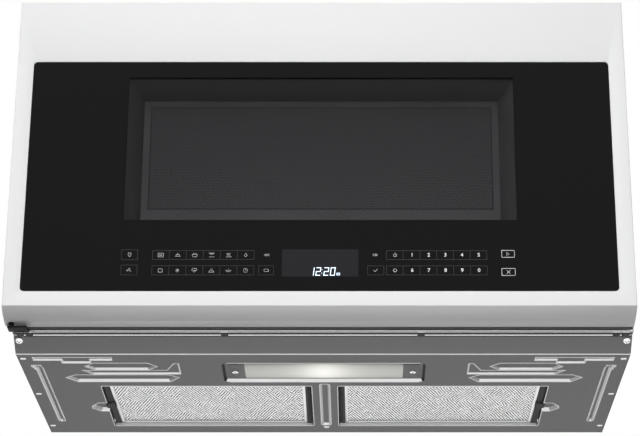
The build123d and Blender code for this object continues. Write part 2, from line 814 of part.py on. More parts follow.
def bolt_places():
    y = PLATE_Y + BOLT_FROM_FRONT
    return [(BODY_X - BOLT_SPACING / 2, y), (BODY_X + BOLT_SPACING / 2, y)]


def make_outer_case():
    """Both sides and the top, folded from one sheet."""
    wrap = rect(CASE_X0, CASE_X1, 0, TOP_Z) - rect(
        CASE_X0 + SHEET, CASE_X1 - SHEET, -1, TOP_Z - SHEET
    )
    case = prism_y(wrap, PLATE_Y, REAR_Y)
    for x0 in (CASE_X0, CASE_X1 - CASE_FLANGE):
        case += block(
            x0,
            x0 + CASE_FLANGE,
            CREASE_Y + 2,
            REAR_Y - SHEET,
            CASE_FLANGE_Z,
            CASE_FLANGE_Z + SHEET,
        )
        case += prism_x(strip_flange(), x0, x0 + CASE_FLANGE)
    for x, y in base_screw_places():
        case -= rod_z(SCREW_SHANK_R, CASE_FLANGE_Z - 0.1, CASE_FLANGE_Z + 2 * SHEET, x, y)
    for place in strip_screw_planes():
        case -= extrude(place * Circle(SCREW_SHANK_R), SCREW_LENGTH)
    case -= prism_x(under_base(), CASE_X0 - 1, CASE_X1 + 1)
    case -= block(
        CASE_X0 + SHEET,
        CASE_X1 - SHEET,
        PLATE_Y - 1,
        GRILLE_BACK_Y,
        TOP_Z - SHEET - 1,
        TOP_Z + 1,
    )
    ox0, ox1, oy0, oy1 = outlet_limits()
    case += block(ox0 - 1.2, ox1 + 1.2, oy0 - 1.2, oy1 + 1.2, TOP_Z - OUTLET_COLLAR, TOP_Z)
    case -= block(ox0, ox1, oy0, oy1, TOP_Z - OUTLET_COLLAR - 1, TOP_Z + 1)
    for x, y in bolt_places():
        case -= rod_z(BOLT_HOLE_R, TOP_Z - 5, TOP_Z + 1, x, y)
    for x, y in cord_place():
        case -= rod_z(GLAND_R, TOP_Z - 5, TOP_Z + 1, x, y)
    for x, z, on_left in side_screw_places():
        x0 = CASE_X0 - 1 if on_left else CASE_X1 - SHEET - 1
        case -= rod_x(SCREW_SHANK_R, x0, x0 + SHEET + 2, x, z)
    return case


def cord_place():
    """Where the supply cord would leave through the top."""
    return [(CASE_X1 - 62.0, REAR_Y - 48.0)]


def make_cord_gland():
    """The bush in the top panel that a supply cord would pass through."""
    x, y = cord_place()[0]
    gland = rod_z(GLAND_R, TOP_Z - SHEET - 6.0, TOP_Z, x, y)
    gland += rod_z(GLAND_FLANGE_R, TOP_Z - SHEET - 3.0, TOP_Z - SHEET, x, y)
    return gland - rod_z(GLAND_BORE_R, TOP_Z - 20, TOP_Z + 1, x, y)


def make_bolt_nuts():
    """Weld nuts under the top for the two cabinet bolts."""
    nuts = []
    for x, y in bolt_places():
        hexagon = Pos(x, y) * RegularPolygon(NUT_ACROSS / 2, 6, major_radius=False)
        nut = prism_z(hexagon, TOP_Z - SHEET - NUT_HEIGHT, TOP_Z - SHEET)
        nuts.append(nut - rod_z(BOLT_HOLE_R, TOP_Z - 30, TOP_Z, x, y))
    return nuts


def side_screw_places():
    """Screws through the sides into the back panel's flanges: Y, Z and the side."""
    return [(REAR_Y - 8.0, z, left) for left in (True, False) for z in (90.0, 330.0)]


def wall_slot_places():
    return [BODY_X - WALL_SLOT_SPACING / 2, BODY_X + WALL_SLOT_SPACING / 2]


def make_back_panel():
    """The rear sheet with side flanges, the wall bracket's slots and two beads."""
    x0, x1 = CASE_X0 + SHEET, CASE_X1 - SHEET
    z0, z1 = SHEET, TOP_Z - SHEET
    y0, y1 = REAR_Y - SHEET, REAR_Y
    panel = block(x0, x1, y0, y1, z0, z1)
    for x in (x0, x1 - SHEET):
        panel += block(x, x + SHEET, y0 - FLANGE_BACK, y1, CASE_FLANGE_Z + SHEET + 0.3, z1)
    for x in wall_slot_places():
        slot = Pos(x, WALL_SLOT_Z) * SlotOverall(WALL_SLOT_LENGTH, WALL_SLOT_HEIGHT)
        panel -= prism_y(slot, y0 - 1, y1 + 1)
    for side in (-1, 1):
        bead = Pos(BODY_X + side * 190.0, 120.0) * SlotOverall(260.0, 16.0)
        panel += prism_y(bead, y0 - 2.0, y0)
        panel -= prism_y(offset(bead, -SHEET), y0 - 2.0 + SHEET, y1)
    for y, z, left in side_screw_places():
        x = x0 if left else x1 - SHEET
        panel -= rod_x(SCREW_SHANK_R, x - 1, x + SHEET + 1, y, z)
    return panel


def make_case_screws():
    screws = []
    for y, z, left in side_screw_places():
        side = 1 if left else -1
        face = CASE_X0 if left else CASE_X1
        shank_end = face + side * SCREW_LENGTH
        shank = rod_x(SCREW_SHANK_R, min(face, shank_end), max(face, shank_end), y, z)
        screws.append(shank)
    return screws


def emboss(outline, depth, slope=EMBOSS_SLOPE, start=0.0):
    """The skin and the hollow of a pressing that stands up from the base."""
    grown_outline = offset(outline, SHEET * 0.5)
    skin = extrude(Plane.XY.offset(start) * grown_outline, depth + SHEET, taper=slope * 0.8)
    hollow = extrude(Plane.XY.offset(start) * outline, depth, taper=slope)
    return skin, hollow


def left_embosses():
    """Outlines and depths of the pressings in the base's left half."""
    m = BODY_X
    channel = rect(m - 357.5, m - 261.5, behind(96), behind(105.5))
    channel += rect(m - 323.5, m - 288.5, behind(96), behind(116))
    hexagon = polygon(
        (m - 296.5, behind(130)),
        (m - 286.0, behind(118)),
        (m - 219.0, behind(118)),
        (m - 208.5, behind(130)),
        (m - 219.0, behind(142)),
        (m - 286.0, behind(142)),
    )
    platform = polygon(
        (m - 300.0, behind(146)),
        (m - 196.0, behind(146)),
        (m - 186.0, behind(120)),
        (m - 180.5, behind(120)),
        (m - 180.5, behind(159)),
        (m - 290.0, behind(159)),
    )
    long_bead = polygon(
        (m - 325.0, behind(174)),
        (m - 313.0, behind(164)),
        (m - 196.0, behind(164)),
        (m - 184.2, behind(174)),
        (m - 196.0, behind(190)),
        (m - 313.0, behind(190)),
    )
    side_bead = rect(m - 358.4, m - 350.5, behind(132), behind(DEPTH - 53), 3.9)
    bead_head = polygon(
        (m - 363.0, behind(126)),
        (m - 352.0, behind(126)),
        (m - 352.0, behind(130)),
        (m - 357.5, behind(141)),
        (m - 359.5, behind(141)),
        (m - 363.0, behind(130)),
    )
    return [
        (channel, CHANNEL_DEPTH),
        (hexagon, HEXAGON_DEPTH),
        (platform, PLATFORM_DEPTH),
        (long_bead, LONG_BEAD_DEPTH),
        (side_bead, SIDE_BEAD_DEPTH),
        (bead_head, SIDE_BEAD_DEPTH),
    ]


def finger_outline():
    """The pointed hollow beside a filter where a finger reaches its tab."""
    m = BODY_X
    edge = m - OPENING_OUTER
    return polygon(
        (edge + 9.0, behind(315)),
        (edge - 11.0, behind(315)),
        (edge - 21.0, behind(303)),
        (edge - 21.0, behind(295)),
        (edge - 11.0, behind(281)),
        (edge + 9.0, behind(281)),
    )


def filter_opening():
    m = BODY_X
    return rect(m - OPENING_OUTER, m - OPENING_INNER, behind(OPENING_FRONT), behind(OPENING_BACK), 2.0)


def light_outline(grow=0.0):
    half = LIGHT_WIDTH / 2 + grow
    return rect(
        BODY_X - half, BODY_X + half, behind(LIGHT_FRONT) - grow, behind(LIGHT_BACK) + grow, 7.0
    )


def base_screw_places():
    """Screws along both edges and the one at the middle of the rear."""
    side = CASE_WIDTH / 2 - SCREW_INSET
    places = [(BODY_X + s * side, behind(d)) for s in (-1, 1) for d in SCREW_STATIONS]
    return places + [(BODY_X, REAR_Y - REAR_SCREW_INSET)]


def make_base_plate():
    """The base: a folded sheet with pressings, filter openings and the light's well."""
    plate = prism_x(base_section(), CASE_X0, CASE_X1)
    skins, hollows = [], []
    for outline, depth in left_embosses():
        skin, hollow = emboss(outline, depth)
        skins += both_sides(skin)
        hollows += both_sides(hollow)
    finger_skin, finger_hollow = emboss(finger_outline(), OPENING_HEM)
    skins += both_sides(finger_skin)
    hollows += both_sides(finger_hollow)
    rib = rect(
        BODY_X - RIB_HALF_WIDTH, BODY_X + RIB_HALF_WIDTH, behind(202), behind(OPENING_BACK - 3), 3.0
    )
    rib_skin, rib_hollow = emboss(rib, RIB_DEPTH)
    light_skin, light_hollow = emboss(light_outline(), LIGHT_DEPTH)
    skins += [rib_skin, light_skin]
    hollows += [rib_hollow, light_hollow]
    for x, y in base_screw_places():
        dimple = Pos(x, y) * Circle(DIMPLE_R)
        skin, hollow = emboss(dimple, DIMPLE_DEPTH, slope=20.0)
        skins.append(skin)
        hollows.append(hollow)
    hem_outline = offset(filter_opening(), SHEET) - filter_opening()
    skins += both_sides(prism_z(hem_outline, 0, OPENING_HEM + SHEET))
    for skin in skins:
        plate += skin
    for hollow in hollows:
        plate -= hollow
    for opening in both_sides(prism_z(filter_opening(), -1, 30)):
        plate -= opening
    half_x, half_y = light_window()
    cy = (behind(LIGHT_FRONT) + behind(LIGHT_BACK)) / 2
    plate -= block(BODY_X - half_x, BODY_X + half_x, cy - half_y, cy + half_y, -1, 30)
    for x, y in base_screw_places():
        plate -= rod_z(SCREW_SHANK_R, -1, 30, x, y)
    for x, y in light_screw_places():
        plate -= rod_z(SCREW_SHANK_R, -1, 30, x, y)
    for place in strip_screw_planes():
        plate -= extrude(place.offset(-1) * Circle(SCREW_SHANK_R), SCREW_LENGTH)
    plate &= block(CASE_X0, CASE_X1, STRIP_FRONT_Y - 5, REAR_Y, -1, 60)
    return plate


def make_base_screws():
    screws = []
    for x, y in base_screw_places():
        top = DIMPLE_DEPTH
        head = rod_z(SCREW_HEAD_R, top - SCREW_HEAD_HEIGHT, top, x, y)
        screws.append(head + rod_z(SCREW_SHANK_R, top, top + SCREW_LENGTH, x, y))
    return screws


def make_front_trim():
    """The folded strip under the door, with two round ribs along it."""
    y0, y1 = PLATE_Y, STRIP_FRONT_Y
    z = STRIP_RISE + strip_lift()
    strip = rect(y0, y1 + 3.0, z, z + 2.0)
    for share in (0.30, 0.78):
        strip += Pos(y0 + (y1 - y0) * share, z) * Circle(1.7)
    trim = prism_x(strip, CASE_X0 + SHEET, CASE_X1 - SHEET)
    trim += block(
        CASE_X0 + SHEET, CASE_X1 - SHEET, PLATE_Y + SHEET, PLATE_Y + 2 * SHEET, z, PLATE_LOW_Z + 12
    )
    long, deep, high = CLIP_SIZE
    middle = (y0 + y1) / 2
    for x in clip_places():
        clip = block(x - long / 2, x + long / 2, middle - deep / 2, middle + deep / 2, z - high, z)
        trim += chamfer(clip.edges().group_by(Axis.Z)[0], high * 0.6)
    return trim


def clip_places():
    """The pressed lugs of the trim: two near the middle and two at each end."""
    half = CASE_WIDTH / 2
    return [BODY_X + side * reach for side in (-1, 1) for reach in (119.5, half - 20.0, half - 9.0)]


def make_front_plate():
    """The flat steel face of the cabinet that the door closes against."""
    x0, x1 = CASE_X0 + SHEET, CASE_X1 - SHEET
    face = rect(x0, x1, PLATE_LOW_Z, PLATE_HIGH_Z)
    face -= rect(*grown((CAVITY_X0, CAVITY_X1, CAVITY_FLOOR, CAVITY_TOP), MOUTH_MARGIN))
    for foot in (HOOK_LOW, HOOK_HIGH):
        half = LATCH_WIDTH / 2 + 2.0
        face -= rect(LATCH_X - half, LATCH_X + half, foot - 2, foot + HOOK_HEIGHT + LATCH_TRAVEL + 2)
    return prism_y(face, PLATE_Y, PLATE_Y + SHEET)


def grille_plane():
    """The slope of the vent grille, from the front plate up to the top panel."""
    angle = math.degrees(math.atan2(GRILLE_RISE - SHEET, GRILLE_RUN))
    middle_y = (PLATE_Y + GRILLE_BACK_Y) / 2
    middle_z = TOP_Z - GRILLE_RISE / 2
    x_dir = Vector(1, 0, 0)
    normal = Vector(0, -math.sin(math.radians(angle)), math.cos(math.radians(angle)))
    return Plane(origin=(BODY_X, middle_y, middle_z), x_dir=x_dir, z_dir=normal)


def make_vent_grille():
    """The louvred grille behind the door's top edge."""
    plane = grille_plane()
    length = math.hypot(GRILLE_RUN, GRILLE_RISE) - 4.0
    width = CASE_WIDTH - 2 * SHEET
    face = Rectangle(width, length)
    pitch_x = (width - 24.0) / GRILLE_SLOTS
    pitch_y = (length - 6.0) / GRILLE_ROWS
    slots = [
        Pos(point.position.X, point.position.Y) * Rectangle(pitch_x - 6.0, SLOT_HEIGHT)
        for point in GridLocations(pitch_x, pitch_y, GRILLE_SLOTS, GRILLE_ROWS)
    ]
    face -= slots
    grille = extrude(plane * face, -GRILLE_THICK)
    blade = Rotation(35, 0, 0) * Box(width - 10.0, SLOT_HEIGHT, 1.0)
    for row in range(GRILLE_ROWS):
        y = (row - (GRILLE_ROWS - 1) / 2) * pitch_y
        grille += plane * (Pos(0, y, -GRILLE_THICK - 0.6) * blade)
    return grille


def make_charcoal_filter():
    """The odour filter that leans behind the grille."""
    plane = grille_plane()
    length, width, thick = CHARCOAL_SIZE
    wall = CHARCOAL_WALL
    frame = Pos(0, 0, -GRILLE_THICK - 14.0) * Box(length, width, thick)
    pocket = (length - 4 * wall) / 3
    for index in (-1, 0, 1):
        x = index * (pocket + wall)
        frame -= Pos(x, 0, -GRILLE_THICK - 9.5) * Box(pocket, width - 2 * wall, 2.0)
    for side in (-1, 1):
        x = side * (length / 2 - 2.0)
        lug = Pos(x, width / 2 + 2.0, -GRILLE_THICK / 2 - 9.5) * Box(4.0, 4.0, 19.0 - GRILLE_THICK)
        frame += lug
        frame += Pos(x, width / 2 - 1.0, -GRILLE_THICK - 14.0) * Box(4.0, 10.0, thick - 2.0)
    return plane * frame


# ---- light under the base ----
def light_window():
    return LENS_WIDTH / 2 + 4.0, LENS_DEPTH / 2 - 2.0


def light_screw_places():
    y = (behind(LIGHT_FRONT) + behind(LIGHT_BACK)) / 2
    reach = LENS_WIDTH / 2 + 12.5
    return [(BODY_X - reach, y), (BODY_X + reach, y)]


def light_centre_y():
    return (behind(LIGHT_FRONT) + behind(LIGHT_BACK)) / 2


def make_light_lens():
    """The crowned lens of the cooktop light."""
    y = light_centre_y()
    top = LIGHT_DEPTH
    half_y = LENS_DEPTH / 2
    r = (half_y**2 + LENS_CROWN**2) / (2 * LENS_CROWN)
    flat = top - LENS_THICK
    section = rect(y - half_y, y + half_y, flat, top)
    crown = (Pos(y, flat - LENS_CROWN + r) * Circle(r)) & rect(
        y - half_y, y + half_y, flat - LENS_CROWN - 1, flat
    )
    section += crown
    hollow = Pos(y, flat - LENS_CROWN + r + LENS_THICK) * Circle(r)
    section -= hollow & rect(y - half_y + 4, y + half_y - 4, 0, top + 1)
    return prism_x(section, BODY_X - LENS_WIDTH / 2, BODY_X + LENS_WIDTH / 2)


def make_light_end_plates():
    """The two plates that clamp the lens at its ends."""
    y = light_centre_y()
    top = LIGHT_DEPTH
    plates = []
    for side in (-1, 1):
        near = BODY_X + side * LENS_WIDTH / 2
        far = near + side * 20.0
        x0, x1 = min(near, far), max(near, far)
        plate = block(x0, x1, y - LENS_DEPTH / 2, y + LENS_DEPTH / 2, top - LIGHT_PLATE_THICK, top)
        x = BODY_X + side * (LENS_WIDTH / 2 + 12.5)
        plates.append(plate - rod_z(SCREW_SHANK_R, 0, 20, x, y))
    return plates


def make_light_screws():
    screws = []
    for x, y in light_screw_places():
        top = LIGHT_DEPTH - LIGHT_PLATE_THICK
        head = rod_z(SCREW_HEAD_R, top - SCREW_HEAD_HEIGHT, top, x, y)
        screws.append(head + rod_z(SCREW_SHANK_R, top, top + SCREW_LENGTH + 2.0, x, y))
    return screws


def make_light_housing():
    """The reflector box above the lens."""
    y = light_centre_y()
    z0 = LIGHT_DEPTH + SHEET
    half_x = LENS_WIDTH / 2 + 8.0
    half_y = LENS_DEPTH / 2 + 2.0
    near = Plane.XY.offset(z0) * rect(BODY_X - half_x, BODY_X + half_x, y - half_y, y + half_y)
    far = Plane.XY.offset(z0 + 26.0) * rect(
        BODY_X - half_x + 10, BODY_X + half_x - 10, y - half_y + 6, y + half_y - 6
    )
    outer = loft([near, far], ruled=True)
    near_in = Plane.XY.offset(z0) * rect(
        BODY_X - half_x + SHEET, BODY_X + half_x - SHEET, y - half_y + SHEET, y + half_y - SHEET
    )
    far_in = Plane.XY.offset(z0 + 25.0) * rect(
        BODY_X - half_x + 11, BODY_X + half_x - 11, y - half_y + 7, y + half_y - 7
    )
    return outer - loft([near_in, far_in], ruled=True)


def make_light_board():
    """The strip with its row of light emitting diodes."""
    y = light_centre_y()
    z1 = LIGHT_DEPTH + SHEET + 25.0
    half = LENS_WIDTH / 2 - 10.0
    board = block(BODY_X - half, BODY_X + half, y - 7, y + 7, z1 - BOARD_THICK, z1)
    for index in range(7):
        x = BODY_X + (index - 3) * 26.0
        board += block(x - 2.5, x + 2.5, y - 2.5, y + 2.5, z1 - BOARD_THICK - 1.2, z1 - BOARD_THICK)
    return board


# ---- grease filters ----
def filter_limits(side):
    """A filter's outline, inside its opening: side -1 is the left one."""
    inner = OPENING_INNER + FILTER_CLEARANCE
    outer = OPENING_OUTER - FILTER_CLEARANCE
    x0, x1 = (BODY_X - outer, BODY_X - inner) if side < 0 else (BODY_X + inner, BODY_X + outer)
    return (
        x0,
        x1,
        behind(OPENING_FRONT) + FILTER_CLEARANCE,
        behind(OPENING_BACK) - FILTER_CLEARANCE,
    )


def filter_floor():
    return OPENING_HEM - 0.5


def channel_limits(side):
    """The aluminium channel's outline, between the two end strips."""
    x0, x1, y0, y1 = filter_limits(side)
    if side < 0:
        return x0 + TAB_WIDTH, x1 - TOOTH_STRIP, y0, y1
    return x0 + TOOTH_STRIP, x1 - TAB_WIDTH, y0, y1


def make_filter_frame(side):
    """A channel of thin aluminium all round the mesh."""
    x0, x1, y0, y1 = channel_limits(side)
    z0, z1 = filter_floor(), filter_floor() + FILTER_THICK
    rim, t = FILTER_RIM, FILTER_SHEET
    frame = block(x0, x1, y0, y1, z0, z1)
    frame -= block(x0 + rim, x1 - rim, y0 + rim, y1 - rim, z0 - 1, z1 + 1)
    return frame - block(x0 + t, x1 - t, y0 + t, y1 - t, z0 + t, z1 - t)


def make_filter_mesh(side):
    """The pad of layered aluminium mesh."""
    x0, x1, y0, y1 = channel_limits(side)
    t = FILTER_SHEET
    z0 = filter_floor() + t
    return block(x0 + t, x1 - t, y0 + t, y1 - t, z0, z0 + MESH_THICK)


def make_filter_teeth(side):
    """The moulded inner end strip: teeth below and two tongues that hang the filter."""
    x0, x1, y0, y1 = filter_limits(side)
    inner = x1 if side < 0 else x0
    near = inner + side * TOOTH_STRIP
    z0, z1 = filter_floor(), filter_floor() + FILTER_THICK
    strip = block(min(inner, near), max(inner, near), y0, y1, z0, z1)
    count = int((y1 - y0 - 4.0) / TOOTH_PITCH)
    groove = Rectangle(TOOTH_STRIP * 0.6 + 0.2, TOOTH_PITCH * 0.5)
    x, y = inner + side * TOOTH_STRIP * 0.3, (y0 + y1) / 2
    grooves = Sketch() + [
        Pos(x, y + (index - (count - 1) / 2) * TOOTH_PITCH) * groove for index in range(count)
    ]
    strip -= prism_z(grooves, z0 - 1, z0 + TOOTH_DEPTH)
    tip = inner - side * TONGUE_REACH
    z = OPENING_HEM + SHEET + TONGUE_GAP
    for y in (y0 + 40.0, y1 - 40.0):
        low, high = min(inner + side, tip), max(inner + side, tip)
        strip += block(low, high, y - TONGUE_WIDTH / 2, y + TONGUE_WIDTH / 2, z, z + FILTER_SHEET)
    return strip


def make_filter_tab(side):
    """The moulded end strip with the pull tab, at the filter's outer end."""
    x0, x1, y0, y1 = filter_limits(side)
    z0, z1 = filter_floor(), filter_floor() + FILTER_THICK
    outer = x0 if side < 0 else x1
    inner = outer - side * TAB_WIDTH
    middle = (behind(281) + behind(315)) / 2
    half = TAB_LENGTH / 2
    bulge = outer + side * (TAB_BULGE - FILTER_CLEARANCE)
    strip = block(min(outer, inner), max(outer, inner), y0, y1, z0, z1)
    tab = polygon(
        (inner, middle - half),
        (outer, middle - half + 2),
        (bulge, middle - half + 7),
        (bulge, middle + half - 7),
        (outer, middle + half - 2),
        (inner, middle + half),
    )
    return strip + prism_z(tab, z0 - TAB_THICK, z0)


# ---- oven cavity and its fittings ----
def turn_x():
    return CAVITY_X


def cavity_limits():
    return CAVITY_X0, CAVITY_X1, CAVITY_FLOOR, CAVITY_TOP


def make_cavity_front():
    """The flange that is welded round the oven's mouth."""
    limits = cavity_limits()
    flange = rect(*grown(limits, FLANGE_REACH), CAVITY_CORNER_R) - rect(*limits, CAVITY_CORNER_R)
    return prism_y(flange, CAVITY_FRONT_Y, CAVITY_FRONT_Y + SHEET)


def make_cavity_wrapper():
    """The oven's floor, ceiling and sides, folded from one sheet."""
    limits = cavity_limits()
    wrap = rect(*grown(limits, SHEET), CAVITY_CORNER_R + SHEET) - rect(*limits, CAVITY_CORNER_R)
    wrapper = prism_y(wrap, CAVITY_FRONT_Y + SHEET, CAVITY_BACK_Y)
    wrapper -= rod_z(SHAFT_R + 3.0, CAVITY_FLOOR - 5, CAVITY_FLOOR + 5, turn_x(), TURN_Y)
    wrapper -= block(
        CAVITY_X1 - 1,
        CAVITY_X1 + SHEET + 1,
        PORT_Y - PORT_DEPTH / 2,
        PORT_Y + PORT_DEPTH / 2,
        PORT_LOW,
        PORT_LOW + PORT_HEIGHT,
    )
    for x in lamp_holes():
        wrapper -= rod_z(2.5, CAVITY_TOP - 1, CAVITY_TOP + SHEET + 1, x, lamp_y())
    return wrapper


def make_cavity_back():
    """The oven's rear wall, with the holes for the convection air and the grill's ends."""
    y0, y1 = CAVITY_BACK_Y, CAVITY_BACK_Y + SHEET
    wall = prism_y(rect(*grown(cavity_limits(), SHEET), CAVITY_CORNER_R + SHEET), y0, y1)
    for count, radius in ((6, 14.0), (12, 28.0), (24, 82.0)):
        for place in PolarLocations(radius, count):
            x, z = place.position.X, place.position.Y
            wall -= rod_y(3.0, y0 - 1, y1 + 1, CAVITY_X + x, CONVECTION_Z + z)
    wall -= rod_y(4.5, y0 - 1, y1 + 1, CAVITY_X, CONVECTION_Z)
    for x in grill_ends():
        wall -= rod_y(HEATER_TUBE_R + 1.0, y0 - 1, y1 + 1, x, grill_z())
    return wall


def lamp_x():
    return CAVITY_X1 - 60.0


def lamp_y():
    return CAVITY_FRONT_Y + 60.0


def lamp_holes():
    return [lamp_x() + (index - 1.5) * 9.0 for index in range(4)]


def make_cavity_lamp():
    """The oven lamp in its holder on the ceiling."""
    z = CAVITY_TOP + SHEET
    holder = block(lamp_x() - 24, lamp_x() + 24, lamp_y() - 14, lamp_y() + 14, z, z + 22.0)
    holder -= block(lamp_x() - 22, lamp_x() + 22, lamp_y() - 12, lamp_y() + 12, z - 1, z + 20.0)
    return holder


def make_lamp_bulb():
    z1 = CAVITY_TOP + SHEET + 20.0
    bulb = rod_z(6.0, z1 - 6.0, z1, lamp_x(), lamp_y())
    return bulb + Pos(lamp_x(), lamp_y(), z1 - 7.0) * Sphere(7.0)


def make_waveguide_cover():
    """The mica sheet over the microwave port, inside the cavity."""
    x1 = CAVITY_X1
    return block(
        x1 - 0.6,
        x1,
        PORT_Y - PORT_DEPTH / 2 - 8,
        PORT_Y + PORT_DEPTH / 2 + 8,
        PORT_LOW - 8,
        PORT_LOW + PORT_HEIGHT + 8,
    )


def grill_z():
    return CAVITY_TOP - GRILL_DROP - HEATER_TUBE_R


def grill_ends():
    return [CAVITY_X - GRILL_WIDTH / 2, CAVITY_X + GRILL_WIDTH / 2]


def grill_path():
    """The serpentine of the grill element, both ends leaving through the rear wall."""
    left, right = grill_ends()
    pitch = GRILL_WIDTH / (2 * GRILL_LEGS - 1)
    front = TURN_Y - GRILL_DEPTH / 2
    back = TURN_Y + GRILL_DEPTH / 2
    end = CAVITY_BACK_Y + SHEET + 8.0
    points = [(left, end)]
    for leg in range(2 * GRILL_LEGS):
        x = left + leg * pitch
        near, far = (back, front) if leg % 2 == 0 else (front, back)
        points += [(x, near), (x, far)]
    points = [points[0]] + points[2:-1] + [(right, end)]
    return [(x, y, grill_z()) for x, y in points]


def make_grill_element():
    pitch = GRILL_WIDTH / (2 * GRILL_LEGS - 1)
    path = FilletPolyline(*grill_path(), radius=pitch * 0.45)
    start = Plane(origin=path @ 0, z_dir=path % 0)
    return sweep(start * Circle(HEATER_TUBE_R), path=path)


def make_grill_clips():
    """Two ceramic-lined straps that hang the grill element from the ceiling."""
    clips = []
    z = grill_z()
    for y in (TURN_Y - GRILL_DEPTH / 4, TURN_Y + GRILL_DEPTH / 4):
        strap = block(
            CAVITY_X - GRILL_WIDTH / 2 - 8,
            CAVITY_X + GRILL_WIDTH / 2 + 8,
            y - 3,
            y + 3,
            z + HEATER_TUBE_R,
            z + HEATER_TUBE_R + 1.5,
        )
        for x in grill_ends():
            side = -6.5 if x < CAVITY_X else 6.5
            strap += block(
                x + side - 1.5, x + side + 1.5, y - 3, y + 3, z + HEATER_TUBE_R, CAVITY_TOP
            )
        clips.append(strap)
    return clips


def make_thermal_cutouts():
    """Two snap discs on the cavity's ceiling."""
    z = CAVITY_TOP + SHEET
    discs = []
    for x in (CAVITY_X - 150.0, CAVITY_X + 60.0):
        disc = rod_z(8.0, z, z + 7.0, x, TURN_Y - 60.0)
        for side in (-1, 1):
            pin = x + side * 4
            disc += block(pin - 1, pin + 1, TURN_Y - 63.0, TURN_Y - 57.0, z + 7.0, z + 13.0)
        discs.append(disc)
    return discs


# ---- convection unit ----
def make_convection_cover():
    """The dished and perforated baffle on the cavity's rear wall."""
    y1 = CAVITY_BACK_Y
    y0 = y1 - COVER_DEPTH
    limits = (
        CAVITY_X - COVER_WIDTH / 2,
        CAVITY_X + COVER_WIDTH / 2,
        CONVECTION_Z - COVER_HEIGHT / 2,
        CONVECTION_Z + COVER_HEIGHT / 2,
    )
    near = Plane.XZ.offset(-y0) * rect(*grown(limits, -8.0), 14.0)
    far = Plane.XZ.offset(-y1) * rect(*limits, 20.0)
    outer = loft([near, far])
    near_in = Plane.XZ.offset(-(y0 + SHEET)) * rect(*grown(limits, -9.0), 13.0)
    far_in = Plane.XZ.offset(-y1) * rect(*grown(limits, -SHEET), 19.0)
    cover = outer - loft([near_in, far_in])
    holes = [Pos(CAVITY_X, CONVECTION_Z) * Circle(4.0)]
    for count, radius in ((6, 14.0), (12, 28.0), (18, 42.0)):
        holes += [
            Pos(CAVITY_X + place.position.X, CONVECTION_Z + place.position.Y) * Circle(4.0)
            for place in PolarLocations(radius, count)
        ]
    for side in (-1, 1):
        for row in range(5):
            x = CAVITY_X + side * (COVER_WIDTH / 2 - 24.0)
            z = CONVECTION_Z + (row - 2) * 30.0
            holes.append(Pos(x, z) * SlotOverall(18.0, 6.0, rotation=90))
    for hole in holes:
        cover -= prism_y(hole, y0 - 1, y0 + SHEET + 1)
    return cover


def make_convection_housing():
    """The round can behind the rear wall that holds the fan and the ring heater."""
    y0 = CAVITY_BACK_Y + SHEET
    y1 = y0 + CAN_DEPTH
    can = rod_y(CAN_R, y0, y1, CAVITY_X, CONVECTION_Z)
    can -= rod_y(CAN_R - SHEET, y0 - 1, y1 - SHEET, CAVITY_X, CONVECTION_Z)
    can += prism_y(
        (Pos(CAVITY_X, CONVECTION_Z) * Circle(CAN_R + 6.0))
        - (Pos(CAVITY_X, CONVECTION_Z) * Circle(CAN_R - SHEET)),
        y0,
        y0 + SHEET,
    )
    return can - rod_y(SHAFT_R + 1.5, y0, y1 + 1, CAVITY_X, CONVECTION_Z)


def make_convection_motor():
    y0 = CAVITY_BACK_Y + SHEET + CAN_DEPTH
    y1 = y0 + 2.0 + CONVECTION_MOTOR_LENGTH
    motor = rod_y(CONVECTION_MOTOR_R, y0 + 2.0, y1, CAVITY_X, CONVECTION_Z)
    reach = CONVECTION_MOTOR_R + 10.0
    plate = rect(CAVITY_X - reach, CAVITY_X + reach, CONVECTION_Z - 12, CONVECTION_Z + 12, 5.0)
    motor += prism_y(plate, y0, y0 + 2.0)
    return motor - rod_y(SHAFT_R + PIN_FIT, y0 - 1, y0 + 14.0, CAVITY_X, CONVECTION_Z)


def make_convection_fan():
    """A backward-leaning radial fan on its shaft."""
    y0 = CAVITY_BACK_Y + SHEET + 4.0
    disc = rod_y(FAN_R, y0 + FAN_HEIGHT, y0 + FAN_HEIGHT + 1.2, CAVITY_X, CONVECTION_Z)
    disc += rod_y(10.0, y0 + 2.0, y0 + FAN_HEIGHT, CAVITY_X, CONVECTION_Z)
    blade = Pos(FAN_R - 22.0, 0) * Rotation(0, 0, 28) * Rectangle(FAN_R - 20.0, 1.2)
    blades = PolarLocations(0, FAN_BLADES) * blade
    disc += prism_y(Pos(CAVITY_X, CONVECTION_Z) * Sketch(children=list(blades)), y0, y0 + FAN_HEIGHT)
    shaft_end = CAVITY_BACK_Y + SHEET + CAN_DEPTH + 13.0
    return disc + rod_y(SHAFT_R, y0 + 2.0, shaft_end, CAVITY_X, CONVECTION_Z)


def make_convection_heater():
    """The ring heater round the fan."""
    y = CAVITY_BACK_Y + SHEET + 13.0
    ring = revolve(
        Plane.XY * (Pos(HEATER_R, 0) * Circle(HEATER_TUBE_R)), axis=Axis.Y, revolution_arc=330
    )
    reach = CAN_DEPTH - SHEET - 13.0
    for angle in (0, 30):
        post = Cylinder(2.0, reach, align=(Align.CENTER, Align.CENTER, Align.MIN))
        ring += Rotation(0, angle, 0) * (Pos(HEATER_R, 0, 0) * (Rotation(-90, 0, 0) * post))
    return Pos(CAVITY_X, y, CONVECTION_Z) * (Rotation(0, 75, 0) * ring)


